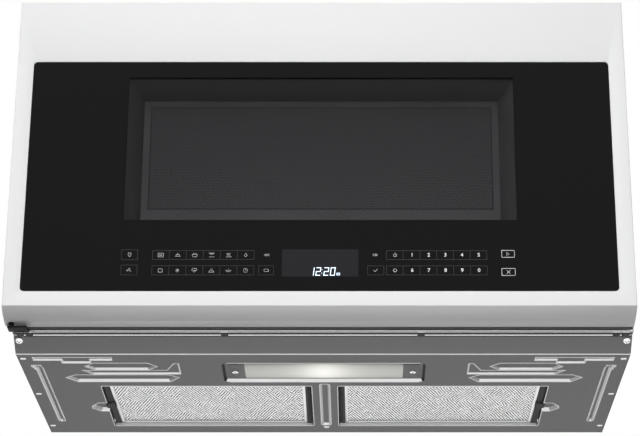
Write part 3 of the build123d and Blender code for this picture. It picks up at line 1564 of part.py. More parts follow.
# ---- turntable ----
def make_turntable_motor():
    z1 = CAVITY_FLOOR - SHEET
    motor = rod_z(TURNTABLE_MOTOR_R, z1 - TURNTABLE_MOTOR_HEIGHT, z1, turn_x(), TURN_Y)
    tabs = rect(
        turn_x() - TURNTABLE_MOTOR_R - 8, turn_x() + TURNTABLE_MOTOR_R + 8, TURN_Y - 7, TURN_Y + 7, 3.0
    )
    motor += prism_z(tabs, z1 - 1.5, z1)
    return motor - rod_z(SHAFT_R + PIN_FIT, z1 - 12.0, z1 + 1, turn_x(), TURN_Y)


def tray_floor():
    return CAVITY_FLOOR + 2 * WHEEL_R + 2 * ROLL_GAP


def make_drive_coupler():
    """The three-lobed coupler on the motor's shaft."""
    z0 = CAVITY_FLOOR + 1.0
    z1 = tray_floor() - 0.3
    hub = rod_z(COUPLER_R - 3.0, z0, z1, turn_x(), TURN_Y)
    lobes = PolarLocations(COUPLER_R - 5.0, 3) * Rectangle(10.0, 6.0)
    hub += prism_z(Pos(turn_x(), TURN_Y) * Sketch(children=list(lobes)), z0, z1)
    return hub + rod_z(SHAFT_R, CAVITY_FLOOR - SHEET - 11.0, z0, turn_x(), TURN_Y)


def make_glass_turntable():
    """The glass tray, revolved: a flat floor, a foot ring and a raised lip."""
    z = tray_floor()
    t = TRAY_THICK
    section = Polyline(
        (0, 0),
        (TRAY_R - 12.0, 0),
        (TRAY_R, TRAY_LIP),
        (TRAY_R - 2.5, TRAY_LIP + 2.0),
        (TRAY_R - 14.0, t),
        (0, t),
        close=True,
    )
    tray = revolve(Plane.XZ * make_face(section), axis=Axis.Z)
    return Pos(turn_x(), TURN_Y, z) * tray


def wheel_angles():
    return [90.0, 210.0, 330.0]


def wheel_z():
    return CAVITY_FLOOR + WHEEL_R + ROLL_GAP


def make_roller_ring():
    """The ring that carries the three rollers, with its stub axles."""
    section = Pos(RING_R, 0) * Rectangle(RING_BAR, 3.5)
    ring = revolve(Plane.XZ * section, axis=Axis.Z)
    for angle in wheel_angles():
        axle = Rotation(0, 0, angle) * Pos(RING_R + RING_BAR / 2 - 0.5, 0, 0) * (
            Rotation(0, 90, 0) * Cylinder(
                AXLE_R, WHEEL_WIDTH + 3.0, align=(Align.CENTER, Align.CENTER, Align.MIN)
            )
        )
        ring += axle
    return Pos(turn_x(), TURN_Y, wheel_z()) * ring


def make_roller_wheel(angle):
    inner = RING_R + RING_BAR / 2 + 0.8
    wheel = Cylinder(WHEEL_R, WHEEL_WIDTH, align=(Align.CENTER, Align.CENTER, Align.MIN))
    wheel -= Cylinder(AXLE_R + PIN_FIT, 3 * WHEEL_WIDTH)
    wheel = chamfer(wheel.edges().filter_by(GeomType.CIRCLE).sort_by(SortBy.RADIUS)[-2:], 0.8)
    placed = Rotation(0, 0, angle) * (Pos(inner, 0, 0) * (Rotation(0, 90, 0) * wheel))
    return Pos(turn_x(), TURN_Y, wheel_z()) * placed


# ---- vent blower ----
def blower_axis():
    """Y and Z of the blower's shaft."""
    return REAR_Y - BLOWER_FROM_REAR, CAVITY_TOP + SHEET + 2.0 + SCROLL_R


def blower_stations():
    """Start and end X of the two wheels, either side of the motor."""
    half = BLOWER_MOTOR_LENGTH / 2 + 6.0
    far = half + BLOWER_WHEEL_LENGTH
    return [(BODY_X - far, BODY_X - half), (BODY_X + half, BODY_X + far)]


def make_blower_wheels():
    """Two squirrel-cage wheels with forward-curved blades on one shaft."""
    y, z = blower_axis()
    (a0, a1), (b0, b1) = blower_stations()
    rotor = rod_x(SHAFT_R, a0, b1, y, z)
    mid_r = BLOWER_WHEEL_R - BLADE_DEPTH / 2
    arc_r = BLADE_DEPTH
    blade = Circle(arc_r + BLADE_THICK) - Circle(arc_r)
    blade &= Pos(arc_r, 0) * Rectangle(arc_r, BLADE_DEPTH * 0.95)
    blade = Pos(mid_r, 0) * (Rotation(0, 0, 90) * (Pos(-arc_r, 0) * blade))
    for x0, x1, hub_x in ((a0, a1, a1 - 2.0), (b0, b1, b0)):
        blades = PolarLocations(0, BLOWER_BLADES) * blade
        rotor += prism_x(Pos(y, z) * Sketch(children=list(blades)), x0, x1)
        ring = Pos(y, z) * (Circle(BLOWER_WHEEL_R) - Circle(BLOWER_WHEEL_R - BLADE_DEPTH))
        for end in (x0, x1 - 2.0):
            rotor += prism_x(ring, end, end + 2.0)
        rotor += rod_x(BLOWER_WHEEL_R - 0.5, hub_x, hub_x + 2.0, y, z)
        rotor += rod_x(7.0, hub_x, hub_x + 2.0, y, z)
    return rotor


def make_blower_housing():
    """Two spiral housings with round inlets and a shared mouth to the top outlet."""
    y, z = blower_axis()
    ox0, ox1, oy0, oy1 = outlet_limits()
    top = TOP_Z - OUTLET_COLLAR
    housings = []
    for x0, x1 in blower_stations():
        h0, h1 = x0 - SCROLL_GAP - SCROLL_WALL, x1 + SCROLL_GAP + SCROLL_WALL
        outer = Pos(y, z) * Circle(SCROLL_R)
        outer += rect(y - SCROLL_R, y + 10.0, z, top)
        inner = Pos(y, z) * Circle(SCROLL_R - SCROLL_WALL)
        inner += rect(y - SCROLL_R + SCROLL_WALL, y + 10.0 - SCROLL_WALL, z, top + 1)
        shell = prism_x(outer, h0, h1) - prism_x(inner, h0 + SCROLL_WALL, h1 - SCROLL_WALL)
        shell -= rod_x(BLOWER_WHEEL_R - 4.0, h0 - 1, h1 + 1, y, z)
        for foot_x in (h0 + 8.0, h1 - 8.0):
            foot = block(foot_x - 4, foot_x + 4, y - 18, y + 18, CAVITY_TOP + SHEET, z - SCROLL_R / 2)
            shell += foot - rod_x(SCROLL_R - SCROLL_WALL / 2, h0 - 1, h1 + 1, y, z)
        housings.append(shell)
    return housings


def make_blower_motor():
    y, z = blower_axis()
    half = BLOWER_MOTOR_LENGTH / 2 - 4.0
    motor = rod_x(BLOWER_MOTOR_R, BODY_X - half, BODY_X + half, y, z)
    ends = motor.edges().filter_by(GeomType.CIRCLE)
    motor = chamfer(ends, 5.0)
    motor += block(BODY_X - 20, BODY_X + 20, y - 22, y + 22, z - SCROLL_R - 2.0, z)
    return motor - rod_x(SHAFT_R + PIN_FIT, BODY_X - half - 1, BODY_X + half + 1, y, z)


# ---- electrical bay, right of the cavity ----
def bay_limits():
    """The bay's inside: X between the cavity and the case."""
    return CAVITY_X1 + SHEET + BAY_MARGIN, CASE_X1 - SHEET - BAY_MARGIN


def bay_front_y():
    """The first free Y behind the interlock bracket."""
    return nose_y() + BRACKET_REACH + 4.0


def make_component_tray():
    """The shelf that carries the electrical parts above the air path."""
    x0, x1 = CAVITY_X1 + SHEET, CASE_X1 - SHEET
    y0, y1 = PLATE_Y + 2 * SHEET + 0.5, REAR_Y - SHEET - FLANGE_BACK - 0.5
    tray = block(x0, x1, y0, y1, TRAY_Z - SHEET, TRAY_Z)
    tray += block(x0, x0 + SHEET, y0, y1, TRAY_Z, TRAY_Z + 10)
    return tray + block(x0, x1, y1 - SHEET, y1, TRAY_Z, TRAY_Z + 12)


def make_transformer():
    """A laminated core with its two windings."""
    bx0, bx1 = bay_limits()
    sx, sy, sz = TRANSFORMER_SIZE
    x = (bx0 + bx1) / 2
    y0 = bay_front_y()
    core = block(x - sx / 2, x + sx / 2, y0 + 12, y0 + sy - 12, TRAY_Z + 2, TRAY_Z + 2 + sz)
    for z in (TRAY_Z + 12.0, TRAY_Z + 36.0):
        winding = rect(x - sx / 2 + 13, x + sx / 2 - 13, y0, y0 + sy, 10.0)
        core += prism_z(winding, z, z + 20.0)
    feet = rect(x - sx / 2 - 6, x + sx / 2 + 6, y0 + 16, y0 + sy - 16)
    return core + prism_z(feet, TRAY_Z, TRAY_Z + 2)


def make_capacitor():
    bx0, bx1 = bay_limits()
    sx, sy, sz = CAPACITOR_SIZE
    x, y = (bx0 + bx1) / 2 + 12.0, bay_front_y() + TRANSFORMER_SIZE[1] + 26.0
    can = prism_z(Pos(x, y) * SlotOverall(sx, sy), TRAY_Z, TRAY_Z + sz - 10)
    for side in (-1, 1):
        can += rod_z(3.0, TRAY_Z + sz - 10, TRAY_Z + sz, x + side * 10, y)
    return can


def magnetron_centre():
    bx1 = bay_limits()[1]
    return bx1 - 2.0 - MAGNETRON_SIZE[0] / 2 + 8.0, PORT_Y, PORT_LOW + PORT_HEIGHT / 2 + 30.0


def waveguide_x():
    return CAVITY_X1 + SHEET, CAVITY_X1 + SHEET + WAVEGUIDE_DEPTH


def make_waveguide():
    """The bent sheet channel from the magnetron to the port."""
    x0, x1 = waveguide_x()
    half = PORT_DEPTH / 2 + SHEET
    z0, z1 = PORT_LOW - SHEET, CAVITY_TOP - 2.0
    guide = block(x0, x1, PORT_Y - half, PORT_Y + half, z0, z1)
    guide -= block(
        x0 - 1, x1 - SHEET, PORT_Y - half + SHEET, PORT_Y + half - SHEET, z0 + SHEET, z1 - SHEET
    )
    guide += block(x0, x0 + SHEET, PORT_Y - half - 8, PORT_Y + half + 8, z0, z1)
    guide -= block(
        x0 - 1, x0 + SHEET + 1, PORT_Y - half + SHEET, PORT_Y + half - SHEET, z0 + SHEET, z1 - SHEET
    )
    cz = magnetron_centre()[2]
    return guide - rod_x(14.0, x1 - 2 * SHEET, x1 + 1, PORT_Y, cz)


def make_magnetron():
    """The yoke with its stack of cooling fins, the antenna and the filter box."""
    x0 = waveguide_x()[1]
    x1 = bay_limits()[1]
    sy, sz = MAGNETRON_SIZE[1], MAGNETRON_SIZE[2]
    cz = magnetron_centre()[2]
    body = block(x0, x0 + 4.0, PORT_Y - sy / 2, PORT_Y + sy / 2, cz - sz / 2, cz + sz / 2)
    body += block(x1 - 30.0, x1 - 26.0, PORT_Y - sy / 2, PORT_Y + sy / 2, cz - sz / 2, cz + sz / 2)
    for z in (cz - sz / 2, cz + sz / 2 - 3.0):
        body += block(x0, x1 - 26.0, PORT_Y - sy / 2 + 14, PORT_Y + sy / 2 - 14, z, z + 3.0)
    body += rod_x(17.0, x0 + 4.0, x1 - 30.0, PORT_Y, cz)
    pitch = (x1 - 30.0 - x0 - 4.0) / (MAGNETRON_FINS + 1)
    for index in range(MAGNETRON_FINS):
        x = x0 + 4.0 + pitch * (index + 1)
        body += block(x - 0.4, x + 0.4, PORT_Y - 30, PORT_Y + 30, cz - sz / 2 + 3, cz + sz / 2 - 3)
    body += block(x1 - 26.0, x1, PORT_Y - 30, PORT_Y + 30, cz - 26, cz + 26)
    return body + rod_x(9.0, x0 - 24.0, x0, PORT_Y, cz)


def cooling_centre():
    bx0, bx1 = bay_limits()
    return (bx0 + bx1) / 2, REAR_Y - 60.0, TRAY_Z + 12.0 + COOLING_HOUSING / 2 + 2.0


def make_cooling_housing():
    """The square duct plate of the magnetron's cooling fan."""
    x, y, z = cooling_centre()
    half = COOLING_HOUSING / 2
    frame = rect(x - half, x + half, z - half, z + half, 6.0)
    frame -= Pos(x, z) * Circle(COOLING_FAN_R + 2.5)
    housing = prism_y(frame, y, y + COOLING_DEPTH)
    for angle in (45, 135, 225, 315):
        arm = Pos(x, z) * Rotation(0, 0, angle) * (Pos(32.0, 0) * Rectangle(34.0, 4.0))
        housing += prism_y(arm, y + COOLING_DEPTH - 4.0, y + COOLING_DEPTH)
    housing += rod_y(20.0, y + COOLING_DEPTH - 4.0, y + COOLING_DEPTH, x, z)
    housing += block(x - half, x + half, y, y + 14.0, TRAY_Z, z - half + 3)
    return housing - rod_y(SHAFT_R + 1.0, y - 1, y + COOLING_DEPTH + 1, x, z)


def make_cooling_motor():
    x, y, z = cooling_centre()
    y0 = y + COOLING_DEPTH
    motor = rod_y(19.0, y0, y0 + 18.0, x, z)
    return motor - rod_y(SHAFT_R + PIN_FIT, y0 - 1, y0 + 10.0, x, z)


def make_cooling_fan():
    """Five twisted blades round a hub."""
    x, y, z = cooling_centre()
    y0, y1 = 3.0, COOLING_DEPTH - 7.0
    fan = rod_y(13.0, y0, y1, 0, 0)
    for index in range(COOLING_FAN_BLADES):
        blade = Pos(28.0, 0, 0) * (Rotation(34, 0, 0) * Box(33.0, 1.2, 15.0))
        angle = index * 360.0 / COOLING_FAN_BLADES
        fan += Rotation(0, angle, 0) * (Pos(0, (y0 + y1) / 2, 0) * blade)
    fan &= rod_y(COOLING_FAN_R, y0 - 4, y1 + 4, 0, 0)
    fan += rod_y(SHAFT_R, y1, COOLING_DEPTH + 9.0, 0, 0)
    return Pos(x, y, z) * fan


def make_power_board():
    """The mains filter and fuse board above the magnetron."""
    bx0, bx1 = bay_limits()
    z = CAVITY_TOP + 22.0
    y0 = PLATE_Y + 60.0
    board = block(bx0, bx1, y0, y0 + 70.0, z, z + BOARD_THICK)
    board += rod_z(11.0, z + BOARD_THICK, z + 18.0, bx0 + 26, y0 + 24)
    board += block(bx0 + 50, bx0 + 80, y0 + 10, y0 + 26, z + BOARD_THICK, z + 14.0)
    board += rod_x(3.2, bx0 + 20, bx0 + 52, y0 + 56, z + BOARD_THICK + 3.0)
    return board


def make_board_posts():
    """Posts that stand the board off a strap across the bay."""
    bx0, bx1 = bay_limits()
    z = CAVITY_TOP + 22.0
    y0 = PLATE_Y + 60.0
    x0, x1 = CAVITY_X1 + 2 * SHEET - 14.0, CASE_X1 - SHEET - 0.2
    strap = block(x0, x1, y0 + 4, y0 + 66, CAVITY_TOP + SHEET, CAVITY_TOP + 2 * SHEET)
    for x in (bx0 + 6, bx1 - 6):
        for y in (y0 + 8, y0 + 62):
            strap += rod_z(3.0, CAVITY_TOP + 2 * SHEET, z, x, y)
    return strap


# ---- door interlock behind the front plate ----
def nose_y():
    return DOOR_BACK_Y + HOOK_REACH


def switch_gap():
    return 0.3


def make_interlock_bracket():
    """The moulded bracket that guides the hooks and holds the switches."""
    y0 = PLATE_Y + SHEET
    y1 = nose_y() + BRACKET_REACH
    z0, z1 = HOOK_LOW - 16.0, HOOK_HIGH + HOOK_HEIGHT + LATCH_TRAVEL + 16.0
    half = LATCH_WIDTH / 2 + 2.0
    bracket = block(LATCH_X - half - 2.5, LATCH_X + half + 2.5, y0, y1, z0, z1)
    bracket -= block(LATCH_X - half, LATCH_X + half, y0 + 2.5, y1 + 1, z0 + 3.0, z1 - 3.0)
    for foot in (HOOK_LOW, HOOK_HIGH):
        low = foot - 1.2
        high = foot + HOOK_HEIGHT + LATCH_TRAVEL + 1.5
        bracket -= block(LATCH_X - half, LATCH_X + half, y0 - 1, y0 + 4, low, high)
        bracket += block(LATCH_X - half, LATCH_X + half, y0, nose_y() - 4.0, low - 3.0, low)
    sy, sz = SWITCH_SIZE[1], SWITCH_SIZE[2]
    for y, z in switch_places():
        bracket += block(LATCH_X - half, LATCH_X + half, y, y + sy, z - sz / 2 - 2.5, z - sz / 2)
    return bracket


def switch_places():
    """Low corner of each switch body, and the height of its plunger."""
    places = []
    for foot in (HOOK_LOW, HOOK_HIGH):
        z = foot + 7.0
        places.append((nose_y() + switch_gap() + 6.0, z))
    return places


def make_interlock_switches():
    """The micro switches that the hooks close, each with its plunger's bore."""
    switches = []
    sx, sy, sz = SWITCH_SIZE
    for y, z in switch_places():
        body = block(LATCH_X - sx / 2, LATCH_X + sx / 2, y, y + sy, z - sz / 2, z + sz / 2)
        body -= rod_y(PLUNGER_R + PLUNGER_FIT, y - 1, y + PLUNGER_LENGTH, LATCH_X, z)
        for share in (0.2, 0.5, 0.8):
            blade_z = z + (share - 0.5) * sz
            body += block(LATCH_X - 3, LATCH_X + 3, y + sy, y + sy + 4, blade_z - 0.4, blade_z + 0.4)
        switches.append(body)
    return switches


def make_switch_plunger(index):
    y, z = switch_places()[index]
    start = nose_y() + switch_gap()
    plunger = rod_y(PLUNGER_R, start, y + PLUNGER_LENGTH - 4.0, LATCH_X, z)
    return plunger + rod_y(2.6, start, start + 2.0, LATCH_X, z)


PARTS = {
    "door_frame": make_door_frame,
    "hinge_bushes": make_hinge_bushes,
    "door_glass": make_door_glass,
    "window_bezel": make_window_bezel,
    "window_screen": make_window_screen,
    "inner_window": make_inner_window,
    "choke_panel": make_choke_panel,
    "choke_cover": make_choke_cover,
    "door_back_cover": make_door_back_cover,
    "door_latch": make_door_latch,
    "latch_spring": make_latch_spring,
    "display_module": make_display_module,
    "control_boards": lambda: [make_touch_board(), make_control_board()],
    "hinge_brackets": lambda: [hinge_bracket(True), hinge_bracket(False)],
    "outer_case": make_outer_case,
    "cord_gland": make_cord_gland,
    "cabinet_bolt_nuts": make_bolt_nuts,
    "back_panel": make_back_panel,
    "base_plate": make_base_plate,
    "cabinet_screws": lambda: sum(
        (make_case_screws(), make_base_screws(), make_light_screws(), make_strip_screws()), []
    ),
    "front_trim": make_front_trim,
    "front_plate": make_front_plate,
    "vent_grille": make_vent_grille,
    "charcoal_filter": make_charcoal_filter,
    "light_lens": make_light_lens,
    "light_end_plates": make_light_end_plates,
    "light_housing": lambda: [make_light_housing(), make_light_board()],
    "left_grease_filter": lambda: [make_filter_frame(-1), make_filter_mesh(-1)],
    "left_filter_strips": lambda: [make_filter_tab(-1), make_filter_teeth(-1)],
    "right_grease_filter": lambda: [make_filter_frame(1), make_filter_mesh(1)],
    "right_filter_strips": lambda: [make_filter_tab(1), make_filter_teeth(1)],
    "oven_cavity": lambda: [
        make_cavity_front(), make_cavity_wrapper(), make_cavity_back(), make_waveguide()
    ],
    "cavity_lamp": lambda: [make_cavity_lamp(), make_lamp_bulb()],
    "waveguide_cover": make_waveguide_cover,
    "grill_element": lambda: [make_grill_element()] + make_grill_clips(),
    "thermal_cutouts": make_thermal_cutouts,
    "convection_cover": make_convection_cover,
    "convection_housing": lambda: [make_convection_housing(), make_convection_motor()],
    "convection_fan": make_convection_fan,
    "convection_heater": make_convection_heater,
    "turntable_motor": make_turntable_motor,
    "drive_coupler": make_drive_coupler,
    "glass_turntable": make_glass_turntable,
    "roller_ring": make_roller_ring,
    "roller_wheel_1": lambda: make_roller_wheel(wheel_angles()[0]),
    "roller_wheel_2": lambda: make_roller_wheel(wheel_angles()[1]),
    "roller_wheel_3": lambda: make_roller_wheel(wheel_angles()[2]),
    "blower_wheels": make_blower_wheels,
    "blower_housing": make_blower_housing,
    "blower_motor": make_blower_motor,
    "component_tray": lambda: [make_component_tray(), make_board_posts()],
    "transformer": make_transformer,
    "capacitor": make_capacitor,
    "magnetron": make_magnetron,
    "cooling_housing": lambda: [make_cooling_housing(), make_cooling_motor()],
    "cooling_fan": make_cooling_fan,
    "power_board": make_power_board,
    "interlock_bracket": make_interlock_bracket,
    "interlock_switches": make_interlock_switches,
    "switch_plungers": lambda: [make_switch_plunger(0), make_switch_plunger(1)],
}

os.makedirs("parts", exist_ok=True)
for part_name, make in PARTS.items():
    save(part_name, make())
print("wrote", len(PARTS), "parts")
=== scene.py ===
"""Looks for an over the range microwave: finishes, rounded edges, keys, mesh, screws and studio."""

import logging
import math
from collections.abc import Callable, Iterator, Sequence
from contextlib import contextmanager
from dataclasses import dataclass, field
from enum import Enum

import bmesh
import bpy
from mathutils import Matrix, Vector


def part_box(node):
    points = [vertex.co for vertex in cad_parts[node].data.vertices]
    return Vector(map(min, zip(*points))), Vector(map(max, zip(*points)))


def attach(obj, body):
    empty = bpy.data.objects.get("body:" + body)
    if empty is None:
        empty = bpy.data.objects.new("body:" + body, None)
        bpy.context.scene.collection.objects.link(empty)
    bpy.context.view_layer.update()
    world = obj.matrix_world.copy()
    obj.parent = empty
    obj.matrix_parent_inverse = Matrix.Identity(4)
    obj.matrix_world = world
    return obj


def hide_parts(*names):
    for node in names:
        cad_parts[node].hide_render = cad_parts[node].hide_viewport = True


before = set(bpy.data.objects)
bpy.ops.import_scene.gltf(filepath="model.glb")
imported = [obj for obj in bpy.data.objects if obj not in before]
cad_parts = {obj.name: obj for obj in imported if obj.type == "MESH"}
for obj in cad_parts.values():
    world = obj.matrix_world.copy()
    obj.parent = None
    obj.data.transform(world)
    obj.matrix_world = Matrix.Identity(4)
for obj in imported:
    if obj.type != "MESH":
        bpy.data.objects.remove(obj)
log = logging.getLogger("microwave")
Piece = bpy.types.Object
Material = bpy.types.Material
Socket = bpy.types.NodeSocket
Node = bpy.types.Node
Color = tuple[float, float, float]
Area = tuple[float, float, float, float]
Rule = Callable[[Vector, Vector], bool]
MM = 0.001
FRONT_Y = -206.5
SEEN_UP = Vector((0, -0.383, 0.924))


def mm(*values: float) -> tuple[float, ...]:
    """The given millimetres as metres."""
    return tuple(value * MM for value in values)


def limits(node: str) -> tuple[Vector, Vector]:
    """Lowest and highest corner of a CAD node, in millimetres."""
    low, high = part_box(node)
    return low / MM, high / MM


# ---- shader expressions ----
def joiner(operation: str, flipped: bool = False) -> Callable[["Field", "Field | float"], "Field"]:
    """The operator that joins a field with one more operand in a Math node.

    Args:
        operation: the Math node's operation.
        flipped: whether the field comes second.

    Returns:
        The operator.
    """

    def join(first: "Field", second: "Field | float") -> "Field":
        """The result of the two operands; a comparison gives one or nought."""
        return first.math(operation, second, flipped=flipped)

    return join


class Field:
    """A shader value with arithmetic: each operator adds one Math node."""

    def __init__(self, tree: bpy.types.NodeTree, socket: Socket) -> None:
        """Wraps an output socket of the tree."""
        self.tree = tree
        self.socket = socket

    def math(self, operation: str, *others: "Field | float", flipped: bool = False) -> "Field":
        """Joins this value with others in a Math node.

        Args:
            operation: the Math node's operation.
            others: the other operands, fields or numbers.
            flipped: whether this value is the second operand.

        Returns:
            The result as a new field.
        """
        node = self.tree.nodes.new("ShaderNodeMath")
        node.operation = operation
        operands = [*others, self] if flipped else [self, *others]
        for slot, value in zip(node.inputs, operands):
            if isinstance(value, Field):
                self.tree.links.new(value.socket, slot)
            else:
                slot.default_value = value
        return Field(self.tree, node.outputs[0])

    __add__ = __radd__ = joiner("ADD")
    __sub__ = joiner("SUBTRACT")
    __rsub__ = joiner("SUBTRACT", flipped=True)
    __mul__ = __rmul__ = joiner("MULTIPLY")
    __truediv__ = joiner("DIVIDE")
    __gt__ = joiner("GREATER_THAN")
    __lt__ = joiner("LESS_THAN")

    def __abs__(self) -> "Field":
        """This value without its sign."""
        return self.math("ABSOLUTE")

    def within(self, low: float, high: float) -> "Field":
        """One where this value lies between two numbers, nought elsewhere."""
        return (self > low) * (self < high)

    def clamped(self) -> "Field":
        """This value held between nought and one."""
        return self.math("MAXIMUM", 0.0).math("MINIMUM", 1.0)

    def centred(self, pitch: float, shift: float = 0.0) -> "Field":
        """The distance to the nearest of a row of points with the given pitch."""
        return abs((self / pitch + shift).math("FRACT") - 0.5) * pitch


class Tree:
    """The node tree of one material."""

    def __init__(self, name: str) -> None:
        """Makes an empty material with an output.

        Args:
            name: the material's name.
        """
        self.material = bpy.data.materials.new(name)
        self.material.use_nodes = True
        self.tree = self.material.node_tree
        self.tree.nodes.clear()
        self.output = self.node("ShaderNodeOutputMaterial")

    def node(self, kind: str, settings: dict[str, object] | None = None, **sockets: object) -> Node:
        """Adds a node.

        Args:
            kind: the node's type.
            settings: properties set before the sockets; "stops" sets a ramp's stops.
            sockets: values or links, keyed by the socket's name with _ for a space.

        Returns:
            The new node.
        """
        made = self.tree.nodes.new(kind)
        for key, value in (settings or {}).items():
            if key == "stops":
                ramp = made.color_ramp
                while len(ramp.elements) < len(value):
                    ramp.elements.new(0.5)
                for element, (place, tone) in zip(ramp.elements, value):
                    element.position = place
                    element.color = (*tone, 1.0)
            else:
                setattr(made, key, value)
        for key, value in sockets.items():
            slot = self.socket(made, key)
            if isinstance(value, Field):
                self.tree.links.new(value.socket, slot)
            elif isinstance(value, Socket):
                self.tree.links.new(value, slot)
            elif isinstance(value, tuple) and slot.type == "RGBA":
                slot.default_value = (*value, 1.0)
            else:
                slot.default_value = value
        return made

    @staticmethod
    def socket(made: Node, key: str) -> Socket:
        """An input of a node by its name, or by its number as in _0.

        Args:
            made: the node.
            key: the input's name with _ for a space, or _ and its number.

        Returns:
            The input.
        """
        if key[1:].isdigit():
            return made.inputs[int(key[1:])]
        return made.inputs[key.replace("_", " ")]

    def field(self, socket: Socket) -> Field:
        """Wraps an output socket."""
        return Field(self.tree, socket)

    def place(self) -> Socket:
        """The object coordinates."""
        return self.node("ShaderNodeTexCoord").outputs["Object"]

    def axes(self) -> tuple[Field, Field, Field]:
        """The object coordinates as three fields."""
        split = self.node("ShaderNodeSeparateXYZ", Vector=self.place())
        return tuple(self.field(out) for out in split.outputs)

    def noise(self, scale: float, detail: float = 2.0, stretch: Color = (1, 1, 1)) -> Field:
        """Noise with the given cells a metre, stretched along the axes.

        Args:
            scale: cells a metre.
            detail: how many finer layers are added.
            stretch: a factor for each axis.

        Returns:
            The noise, nought to one.
        """
        turned = self.node("ShaderNodeMapping", Vector=self.place(), Scale=stretch)
        made = self.node("ShaderNodeTexNoise", Vector=turned.outputs[0], Scale=scale, Detail=detail)
        return self.field(made.outputs[0])

    def speckle(self, scale: float) -> Field:
        """The distance to the nearest of scattered points."""
        made = self.node("ShaderNodeTexVoronoi", Vector=self.place(), Scale=scale)
        return self.field(made.outputs["Distance"])

    def blend(self, factor: Field | float, first: Color | Socket, second: Color) -> Socket:
        """Mixes two colours by a factor."""
        made = self.node("ShaderNodeMix", {"data_type": "RGBA"}, _0=factor, _6=first, _7=second)
        return made.outputs[2]

    def bump(self, height: Field, strength: float, distance: float) -> Socket:
        """A bumped normal from a height."""
        made = self.node("ShaderNodeBump", Height=height, Strength=strength, Distance=distance)
        return made.outputs[0]

    def surface(self, **sockets: object) -> Node:
        """A Principled shader with the given sockets."""
        return self.node("ShaderNodeBsdfPrincipled", **sockets)

    def close(self, shader: Node) -> Material:
        """Joins a shader to the output and returns the material."""
        self.tree.links.new(shader.outputs[0], self.output.inputs[0])
        return self.material

    def coated(self, **sockets: object) -> Material:
        """The material of one Principled shader with the given sockets."""
        return self.close(self.surface(**sockets))


def tint(color: Color, by: float) -> Color:
    """A colour made lighter or darker by a factor, at most 1."""
    return tuple(min(1.0, part * by) for part in color)


# ---- finishes ----
@dataclass(frozen=True)
class Finish:
    """A surface finish: its name, colour and roughness."""

    name: str
    color: Color
    roughness: float

    def material(self) -> Material:
        """The material of this finish, made once."""
        found = bpy.data.materials.get(self.name)
        return found or self.make(Tree(self.name))

    def make(self, tree: Tree) -> Material:
        """Builds the node tree; each finish has its own."""
        raise NotImplementedError


@dataclass(frozen=True)
class Enamel(Finish):
    """Sprayed or fired paint: faint mottling, orange peel and optional specks."""

    specks: float = 0.0
    peel: float = 0.06
    specular: float = 0.5

    def make(self, tree: Tree) -> Material:
        """Paint with orange peel.

        Args:
            tree: the tree, with only its output.

        Returns:
            The finished material.
        """
        cloud = tree.noise(9.0)
        skin = tree.noise(420.0, 1.0)
        color = tree.blend(cloud, tint(self.color, 0.995), tint(self.color, 1.005))
        if self.specks:
            dots = tree.speckle(620.0) < 0.16
            color = tree.blend(dots * self.specks, color, tint(self.color, 2.6))
        return tree.coated(
            Base_Color=color, Roughness=self.roughness + (cloud - 0.5) * 0.01,
            Specular_IOR_Level=self.specular, Normal=tree.bump(skin, self.peel, 0.0004),
        )


@dataclass(frozen=True)
class Moulding(Finish):
    """Moulded plastic with a fine spark-eroded grain."""

    grain: float = 0.12
    specular: float = 0.5

    def make(self, tree: Tree) -> Material:
        """Plastic with grain.

        Args:
            tree: the tree, with only its output.

        Returns:
            The finished material.
        """
        grain = tree.noise(2400.0, 1.0)
        cloud = tree.noise(22.0)
        return tree.coated(
            Base_Color=tree.blend(cloud, tint(self.color, 0.94), tint(self.color, 1.06)),
            Roughness=self.roughness + (grain - 0.5) * 0.1, Specular_IOR_Level=self.specular,
            Normal=tree.bump(grain, self.grain, 0.0002),
        )


@dataclass(frozen=True)
class Metal(Finish):
    """Bare or plated metal, rolled along one axis, with faint spangle."""

    along: Color = (0.03, 1.0, 1.0)
    spangle: float = 0.1
    metallic: float = 1.0

    def make(self, tree: Tree) -> Material:
        """Metal with rolling lines and spangle.

        Args:
            tree: the tree, with only its output.

        Returns:
            The finished material.
        """
        lines = tree.noise(900.0, 2.0, self.along)
        patches = tree.field(
            tree.node("ShaderNodeTexVoronoi", Vector=tree.place(), Scale=90.0).outputs["Color"]
        )
        shade = lines * 0.5 + patches * self.spangle
        return tree.coated(
            Base_Color=tree.blend(shade, tint(self.color, 0.86), tint(self.color, 1.1)),
            Metallic=self.metallic,
            Roughness=self.roughness + (lines - 0.5) * 0.12 + patches * self.spangle * 0.2,
            Normal=tree.bump(lines, 0.08, 0.0002),
        )


